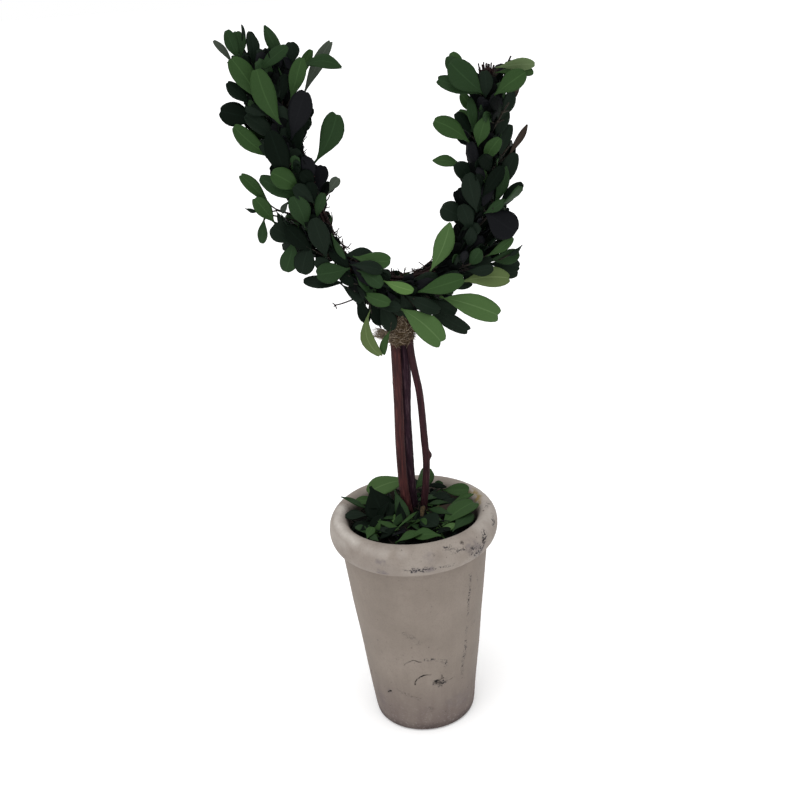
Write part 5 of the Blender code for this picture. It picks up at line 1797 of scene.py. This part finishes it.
    def grow_sprig(self, name: str, order: int, leaves: Cluster, twigs: Cluster) -> None:
        """Grow one seeded sprig by the source's rule, with side shoots between its pairs of leaves.

        Args:
            name: The mass.
            order: The sprig's number in it.
            leaves: Where blades go.
            twigs: Where twigs go.
        """
        mass, habit = MASSES[name], self.habit
        draw = random.Random(SEED + seed_of(name, order))
        finer = random.Random(SEED + self.finer_seed + seed_of(name, order))
        place = habit.span * (order + draw.uniform(*habit.place)) / mass.sprigs
        share = (mass.start if mass.flow > 0 else mass.end) + mass.flow * (mass.end - mass.start) * place
        angle = habit.first + habit.sweep * (order * habit.golden % 1)
        angle += draw.uniform(-habit.jitter, habit.jitter)
        lean = math.radians(draw.uniform(*habit.lean))
        reach = draw.uniform(*habit.reach)
        size = draw.uniform(*habit.leaf)
        off = self.line.outward(share, math.radians(angle))
        run = self.line.forward(share) * mass.flow * math.cos(lean) + off * math.sin(lean)
        foot = self.line.at(share) + off * (self.sheath - habit.sink)
        head = foot + run * reach
        side = run.cross(off).normalized()
        back = self.line.at(share - mass.flow * self.foot_back) + off * self.vine_surface
        spine = bent(back, run * 3 * MM, head, run * reach * 0.4, 7)
        twigs.add(sweep(spine, [(0.85 - 0.05 * k) * MM for k in range(8)], 6))
        tone = tone_of(finer.choice(habit.tones))
        for along, hand, share_of_size in habit.blades:
            swing = math.radians(draw.uniform(*habit.swing)) * hand
            lift = draw.uniform(*habit.lift)
            length = size * share_of_size * draw.uniform(*habit.growth)
            width = length * draw.uniform(*habit.breadth)
            root = foot.lerp(head, along) - run * habit.sink
            aim = (run * math.cos(swing) + side * math.sin(swing) + off * lift).normalized()
            own = tone if finer.random() < habit.keep_tone else tone_of(finer.choice(habit.tones))
            leaf = Leaf(root + aim * length, root, width, off, own)
            if self.fits(leaf, name, self.arm_tops):
                leaves.add(self.press.blade(leaf, COARSE, finer))
        for along, hand in habit.shoots:
            swing = math.radians(finer.uniform(*habit.shoot_swing)) * hand
            root = foot.lerp(head, along)
            way = run * math.cos(swing) + side * math.sin(swing) + off * finer.uniform(-0.3, 0.5)
            way.normalize()
            end = root + way * finer.uniform(*habit.shoot_length)
            for turn in habit.shoot_turns:
                aim = (way + run * 0.6 + side * turn * 1.2 + off * finer.uniform(-0.3, 0.4)).normalized()
                length = finer.uniform(*habit.shoot_leaf)
                leaf = Leaf(end + aim * length, end, length * finer.uniform(*habit.breadth), off,
                            tone_of(finer.choice(habit.shoot_tones)))
                if self.fits(leaf, name, self.arm_tops):
                    leaves.add(self.press.blade(leaf, COARSE, finer))
            twigs.add(sweep([root, root.lerp(end, 0.5), end + way * 0.8 * MM], tapered(0.5, 0.42, 0.35), 4))

    def fill(self, name: str, habit: FillHabit, leaves: Cluster, twigs: Cluster) -> None:
        """Fill the room next to the vine with leaves on stubs.

        Args:
            name: The mass.
            habit: Where the leaves stand and how large they are.
            leaves: Where blades go.
            twigs: Where stubs go.
        """
        mass = MASSES[name]
        draw = random.Random(f"{name} {habit.per_share}")
        low, high = mass.start - (habit.before_start if mass.start == 0 else 0), mass.end
        for order in range(round(habit.per_share * (high - low))):
            share = draw.uniform(low, high)
            least = next((angle for a, b, angle in self.bare if a < share < b), habit.angle[0])
            degrees = draw.uniform(least, habit.angle[1])
            off = self.line.outward(share, math.radians(degrees))
            lean = math.radians(draw.uniform(*habit.lean))
            swing = math.radians(draw.uniform(-habit.swing, habit.swing))
            ahead = self.line.forward(share) * mass.flow
            side = ahead.cross(off).normalized()
            way = (ahead * math.cos(swing) + side * math.sin(swing)) * math.cos(lean) + off * math.sin(lean)
            root = self.line.at(share) + off * draw.uniform(*habit.foot)
            length = draw.uniform(*habit.leaf)
            tones = habit.front if degrees < self.front_turn else habit.back
            face = (off + ahead * draw.uniform(-0.3, 0.3) + side * draw.uniform(-0.5, 0.5)).normalized()
            width = length * draw.uniform(*habit.breadth)
            leaf = Leaf(root + way * length, root, width, face, tone_of(draw.choice(tones)))
            if not self.fits(leaf, name, self.fill_tops):
                continue
            leaves.add(self.press.blade(leaf, COARSE, draw))
            if order % 3 == 0:
                foot = self.line.at(share) + off * self.vine_surface - ahead * 2 * MM
                twigs.add(sweep([foot, root, root + way * 2 * MM], tapered(0.5, 0.45, 0.35), 4))

    def build(self) -> list[bpy.types.Object]:
        """Grow the eight masses, each as one piece of leaves and one of twigs.

        Returns:
            All the pieces.
        """
        bark = self.bark.material()
        made = []
        self.keep_clear()
        for name, mass in MASSES.items():
            leaves, twigs = Cluster(), Cluster()
            self.grow_front(name, mass, leaves, twigs)
            for order in range(mass.sprigs):
                self.grow_sprig(name, order, leaves, twigs)
            self.fill(name, SHADE_LEAVES, leaves, twigs)
            self.fill(name, COVER_LEAVES, leaves, twigs)
            count = leaves.count
            blades = name.replace("leaves", "blades")
            piece = finish_piece(blades, leaves.bm, self.materials, [name])
            thicken(piece, self.press.thickness)
            LOG.info("%s: %d leaves", name, count)
            made.append(piece)
            made.append(finish_piece(name.replace("leaves", "twigs"), twigs.bm, [bark]))
        return made


@dataclass(frozen=True)
class CrumbFinish:
    """Dry crumbs: their colours from dark to light, the size of their grain, and how far they stand up."""

    name: str
    stops: tuple[tuple[float, Colour], ...]
    scale: float
    relief: float
    strength: float
    roughness: float
    rough_range: Pair | None = None

    def material(self) -> bpy.types.Material:
        """Mix the crumbs.

        Returns:
            The finished material.
        """
        recipe = Recipe(self.name, self.roughness, 0.1)
        grain = recipe.noise(self.scale, 5)
        recipe.feed("Base Color", recipe.ramp(grain, self.stops))
        if self.rough_range:
            recipe.feed("Roughness", recipe.span(grain, 0.3, 0.7, *self.rough_range))
        recipe.bump(grain, self.relief, self.strength)
        return recipe.material


LITTER = CrumbFinish("dark_litter", ((0.3, (7, 7, 7)), (0.55, (16, 17, 14)), (0.75, (34, 30, 24))),
                     420, 1 * MM, 0.9, 0.9, (0.82, 0.98))
FILLING = CrumbFinish("crumbled_filling", ((0.3, (38, 30, 24)), (0.6, (66, 54, 42)), (0.8, (92, 76, 58))),
                      260, 0.8 * MM, 0.8, 0.95)


@dataclass
class LeafBed:
    """The mound in the pot's mouth and the loose leaves that cover it."""

    materials: list[bpy.types.Material]
    press: LeafPress
    crown: float = 146.5 * MM
    fall: float = 9 * MM
    curve: float = 2.5
    radius: float = 39.6 * MM
    low: float = 132.8 * MM
    fine_seed: int = 205
    rings: int = 26
    lump_scale: float = 190
    lump: float = 1.1 * MM
    settled: float = 0.6 * MM
    even_edge: float = 0.5 * MM
    steps: int = 96
    spread: float = 0.95
    turn: float = 2.4
    jitter: float = 0.3
    rise: Pair = (0.05, 0.45)
    length: Pair = (13 * MM, 20 * MM)
    breadth: Pair = (0.42, 0.5)
    sink: float = 1.5 * MM
    tilt: float = 0.5
    source_leaves: int = 20
    # E, K and S in these tones are near-black and paint shade between the bed's leaves.
    source_tones: str = "DDEMKE"
    source_slim: float = 0.8
    more_leaves: int = 120
    more_tones: str = "DKEBMEKDLM"
    narrow: float = 0.55
    shapes: tuple[Shape, ...] = (Shape.LANCE, Shape.LANCE, Shape.POINTED, Shape.CUPPED)
    scraps: int = 260
    scrap_tones: str = "SEKSDKE"
    scrap_length: Pair = (3, 7)
    bit_length: Pair = (5, 12)
    mouth: float = 41.0 * MM
    rim: float = 150.5 * MM
    upward: Vector = Vector((0, -0.35, 0.93))
    bits: int = 46
    bit_spread: float = 0.95
    knob: tuple[Triple, ...] = ((7.4, -5, 153.4), (7, -7, 153.6), (6.4, -9, 152.2), (6, -11, 149.6))
    stalk: tuple[Triple, ...] = ((9, -4, 150), (16, -2, 151), (22, 0, 150.5), (27, 3, 150))
    finishes: tuple[BarkFinish, ...] = (
        BarkFinish("bed_twig_bark", (20, 16, 15), (44, 37, 31), (74, 64, 52), 0.85, (1, 1, 1)),
        BarkFinish("dry_knob", (44, 35, 24), (70, 58, 40), (98, 82, 58), 0.85, (1, 1, 1)))
    placed: tuple[tuple, ...] = (
        (-29, 20, 153.4, 0, 36, 152.5, 15, -14, "L", -0.04), (15, 25, 163.5, 3, 27, 149, 14, 0, "B", 0.1),
        (-6, 30, 154, 10, 33, 149, 9, -10, "D"), (24, 22, 152, 8, 30, 150, 5, 0, "Ep"),
        (-20, 24, 150, -33, 10, 146, 9, 0, "D"), (4, 12, 150, 22, 16, 148, 7, 20, "Mp"),
        (26, 12, 150, 12, 16, 149, 6, 20, "Dp"), (30, 8, 150, 16, 8, 148.5, 5, 30, "Dp"),
        (-4, -4, 151, -14, -18, 147, 5, 40, "Ml"), (-18, -12, 153, -30, -16, 146, 6, 30, "Ep"),
        (-12, -27.6, 149, 3.5, -7.2, 151.5, 4, 30, "Bl", 0.1), (-30, -2, 154, -18, 2, 147, 6, 40, "Ep"),
        (-36.3, -15.7, 148.5, -28, -25, 146.5, 6, 10, "M"), (28, -20, 148, 14, -26, 146, 5, 10, "Lp"),
        (22, 27, 153, 14, 30, 150, 5, 20, "Mp"), (38.5, 18.5, 151, 20.5, 25, 149, 11, 8, "B"),
        (41, 10.5, 152, 26, 3.5, 150, 4, 25, "Bp"), (41, 1.4, 151, 18, -21.5, 147.5, 15, 0, "Bn", 0.04),
        (38, -8, 148.5, 24, -26, 145.5, 10, 10, "M"), (29.5, -2, 150, 11, -6, 149.5, 6, 20, "Np"),
        (24, 5, 150, 10, 4, 150, 3.5, 20, "Ml"), (15, -25, 150, 4, -12, 149, 13, 10, "Dc"),
        (19, -20, 149, 9, -8, 151, 4, 15, "Bp"), (-12, -38, 147, 9, -29, 147.5, 8, 20, "Bl"),
        (17, -34, 148, -3, -32, 147.5, 10, 0, "Bl"), (8, -24, 151.5, 4, -15, 149, 5, 40, "B"),
        (-20.5, -22.3, 156, -24.3, -22.7, 146, 3.2, 25, "Bl", -0.05),
        (-25.4, -22.3, 150.5, -29.7, -31.9, 146.5, 6, 10, "Bs"), (-28, -26, 148, -22, -31, 145, 5, 0, "Mp"),
        (-26, 11, 163.5, -15, -8, 140, 21, 0, "El", 0.03), (-10.5, 3.5, 163, -5, -14, 138, 9.5, -20, "Ml"),
        (-12.5, 4, 155, -18, -8.5, 146, 7, 30, "Dp"), (-14, -2, 158, -22, -9, 146, 9, -30, "El"),
        (-7, -1, 160, -10, -15, 142, 7, 10, "El"), (-46, 8, 158, -29, 9, 147, 7, 20, "Ml", 0.05),
        (-43.6, -1.1, 149, -28, 0, 147, 8, 0, "D"), (-38, 12, 152, -22, 17, 148, 8, 0, "Bp"),
        (-38.5, -14, 148, -27, -7, 145.5, 6, 0, "Ep"), (-34, -22, 148.5, -25, -13, 146.5, 6, 0, "El"),
        (-24.5, -22.5, 149.5, -10, -27, 145.5, 7, 20, "Dp"), (-9.5, -25, 151, -22, -29, 145, 5, 10, "El"),
        (-14, -31, 149, 3, -27, 146.5, 5, 30, "Kl"), (-7, -20, 152, 2, -13, 148, 4, 20, "Bl"),
        (13, -32, 148, 24, -22, 146, 5, 0, "El"), (25, -14, 151, 10, -4, 151, 5, 20, "Ml"))

    def surface(self, radius: float) -> float:
        """Return the height of the mound's surface at a radius."""
        return self.crown - self.fall * (radius / self.radius) ** self.curve

    def build(self) -> list[bpy.types.Object]:
        """Make the mound of litter and the leaves on it.

        Returns:
            The litter and the leaves.
        """
        radii = [self.radius * k / self.rings for k in range(self.rings + 1)]
        top = [(radius, self.surface(radius)) for radius in radii]
        bm = spun([*top, (self.radius, self.low), (0, self.low)], self.steps)
        for vert in bm.verts:
            if vert.co.z > self.low + MM and vert.co.xy.length < self.radius - self.even_edge:
                vert.co.z += noise.fractal(vert.co * self.lump_scale, 1.0, 2.0, 3) * self.lump - self.settled
        litter = finish_piece("litter_mound", bm, [LITTER.material()], ["leaf_bed"])
        leaves = Cluster()
        for order, row in enumerate(self.placed):
            draw = random.Random(self.fine_seed + order)
            leaves.add(self.press.blade(read_leaf(row, self.upward), FINE, draw))
        self.sprinkle(leaves, random.Random(SEED), self.source_leaves, self.source_tones, self.source_slim)
        self.sprinkle(leaves, random.Random(SEED + 1), self.more_leaves, self.more_tones, self.narrow)
        self.scatter(leaves, random.Random(SEED + 2))
        piece = finish_piece("bed_blades", leaves.bm, self.materials)
        thicken(piece, self.press.thickness)
        return [litter, piece, self.twigs()]

    def sprinkle(self, leaves: Cluster, draw: random.Random, count: int, tones: str, slim: float) -> None:
        """Lay loose leaves on the mound, each about a golden turn on from the last.

        Args:
            leaves: Where blades go.
            draw: The generator to draw from.
            count: How many leaves to lay.
            tones: The letters of the tones to deal.
            slim: The factor on their width.
        """
        kinds = random.Random(count)
        for order in range(count):
            radius = self.spread * self.radius * math.sqrt((order + 0.5) / count)
            turn = order * self.turn + draw.uniform(-self.jitter, self.jitter)
            root = polar(radius, turn, self.surface(radius) - self.sink)
            heading = draw.uniform(0, math.tau)
            aim = polar(1, heading, draw.uniform(*self.rise)).normalized()
            length = draw.uniform(*self.length)
            width = length * draw.uniform(*self.breadth) * slim
            tilt = [draw.uniform(-self.tilt, self.tilt) for _ in "xy"]
            tip = root + aim * length
            if tip.xy.length > self.mouth and tip.z < self.rim:
                inwards = Vector((-root.x, -root.y, 0)).normalized()
                tip = root + inwards * length * 0.8 + Vector((0, 0, aim.z * length))
            leaf = Leaf(tip, root, width, Vector((*tilt, 1)), tone_of(kinds.choice(tones)),
                        kinds.choice(self.shapes))
            leaves.add(self.press.blade(leaf, COARSE, kinds))

    def scatter(self, leaves: Cluster, draw: random.Random) -> None:
        """Strew small scraps of leaf over the mound, most of them near-black, which paints shade between the
        bed's leaves.

        Args:
            leaves: Where scraps go.
            draw: The generator to draw from.
        """
        for _ in range(self.scraps):
            radius = self.radius * math.sqrt(draw.random()) * 0.97
            turn = draw.uniform(0, math.tau)
            root = polar(radius, turn, self.surface(radius) + draw.uniform(-0.5, 1) * MM)
            way = scattered(draw, (-1, 1), (-1, 1), (-0.1, 0.5)).normalized()
            length = draw.uniform(*self.scrap_length) * MM
            tip = root + way * length
            if tip.xy.length < self.mouth - MM:
                face = Vector((way.y, -way.x, 1.5))
                leaf = Leaf(tip, root, length * 0.5, face, tone_of(draw.choice(self.scrap_tones)))
                leaves.add(self.press.blade(leaf, COARSE, draw))

    def twigs(self) -> bpy.types.Object:
        """Lay bits of twig, the tan knob by the stems and the thin twig end behind them.

        Returns:
            The bits.
        """
        cluster = Cluster()
        draw = random.Random(SEED + 3)
        for _ in range(self.bits):
            radius = self.radius * self.bit_spread * math.sqrt(draw.random())
            turn = draw.uniform(0, math.tau)
            start = polar(radius, turn, self.surface(radius) + 1.5 * MM)
            way = scattered(draw, (-1, 1), (-1, 1), (0, 0.3)).normalized()
            end = start + way * draw.uniform(*self.bit_length) * MM
            if end.xy.length < self.mouth - MM:
                line = bent(start, way * 2 * MM, end, Vector((way.y, way.x, 0.2)) * 2 * MM, 4)
                cluster.add(sweep(line, tapered(0.45, 0.42, 0.4, 0.36, 0.3), 5), 0)
        knob = [Vector(point) * MM for point in self.knob]
        cluster.add(sweep(knob, tapered(0.9, 1.7, 1.4, 1), 10,
                          lambda turn, share: 1 + 0.16 * math.sin(3 * turn + 4 * share)), 1)
        stalk = [Vector(point) * MM for point in self.stalk]
        cluster.add(sweep(stalk, tapered(0.5, 0.45, 0.4, 0.3), 5), 1)
        materials = [finish.material() for finish in self.finishes]
        return finish_piece("bed_twigs", cluster.bm, materials)


def dress_filling() -> None:
    """Give the CAD filling under the bed its dry, crumbled material."""
    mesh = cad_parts["filling"].data
    mesh.materials.clear()
    mesh.materials.append(FILLING.material())


def main() -> None:
    """Build every piece in order and report it."""
    logging.basicConfig(level=logging.INFO, format="%(name)s: %(message)s")
    Studio().build()
    LOG.info("studio ready")
    Pot().build()
    dress_filling()
    stems = Stems()
    stems.build()
    Twine().build()
    line = Line(U_LINE)
    Vine(line).build()
    leaves, press = leaf_materials(), LeafPress()
    LeafBed(leaves, press).build()
    Foliage(line, stems.lines(), leaves, press).build()


if __name__ == "__main__":
    main()
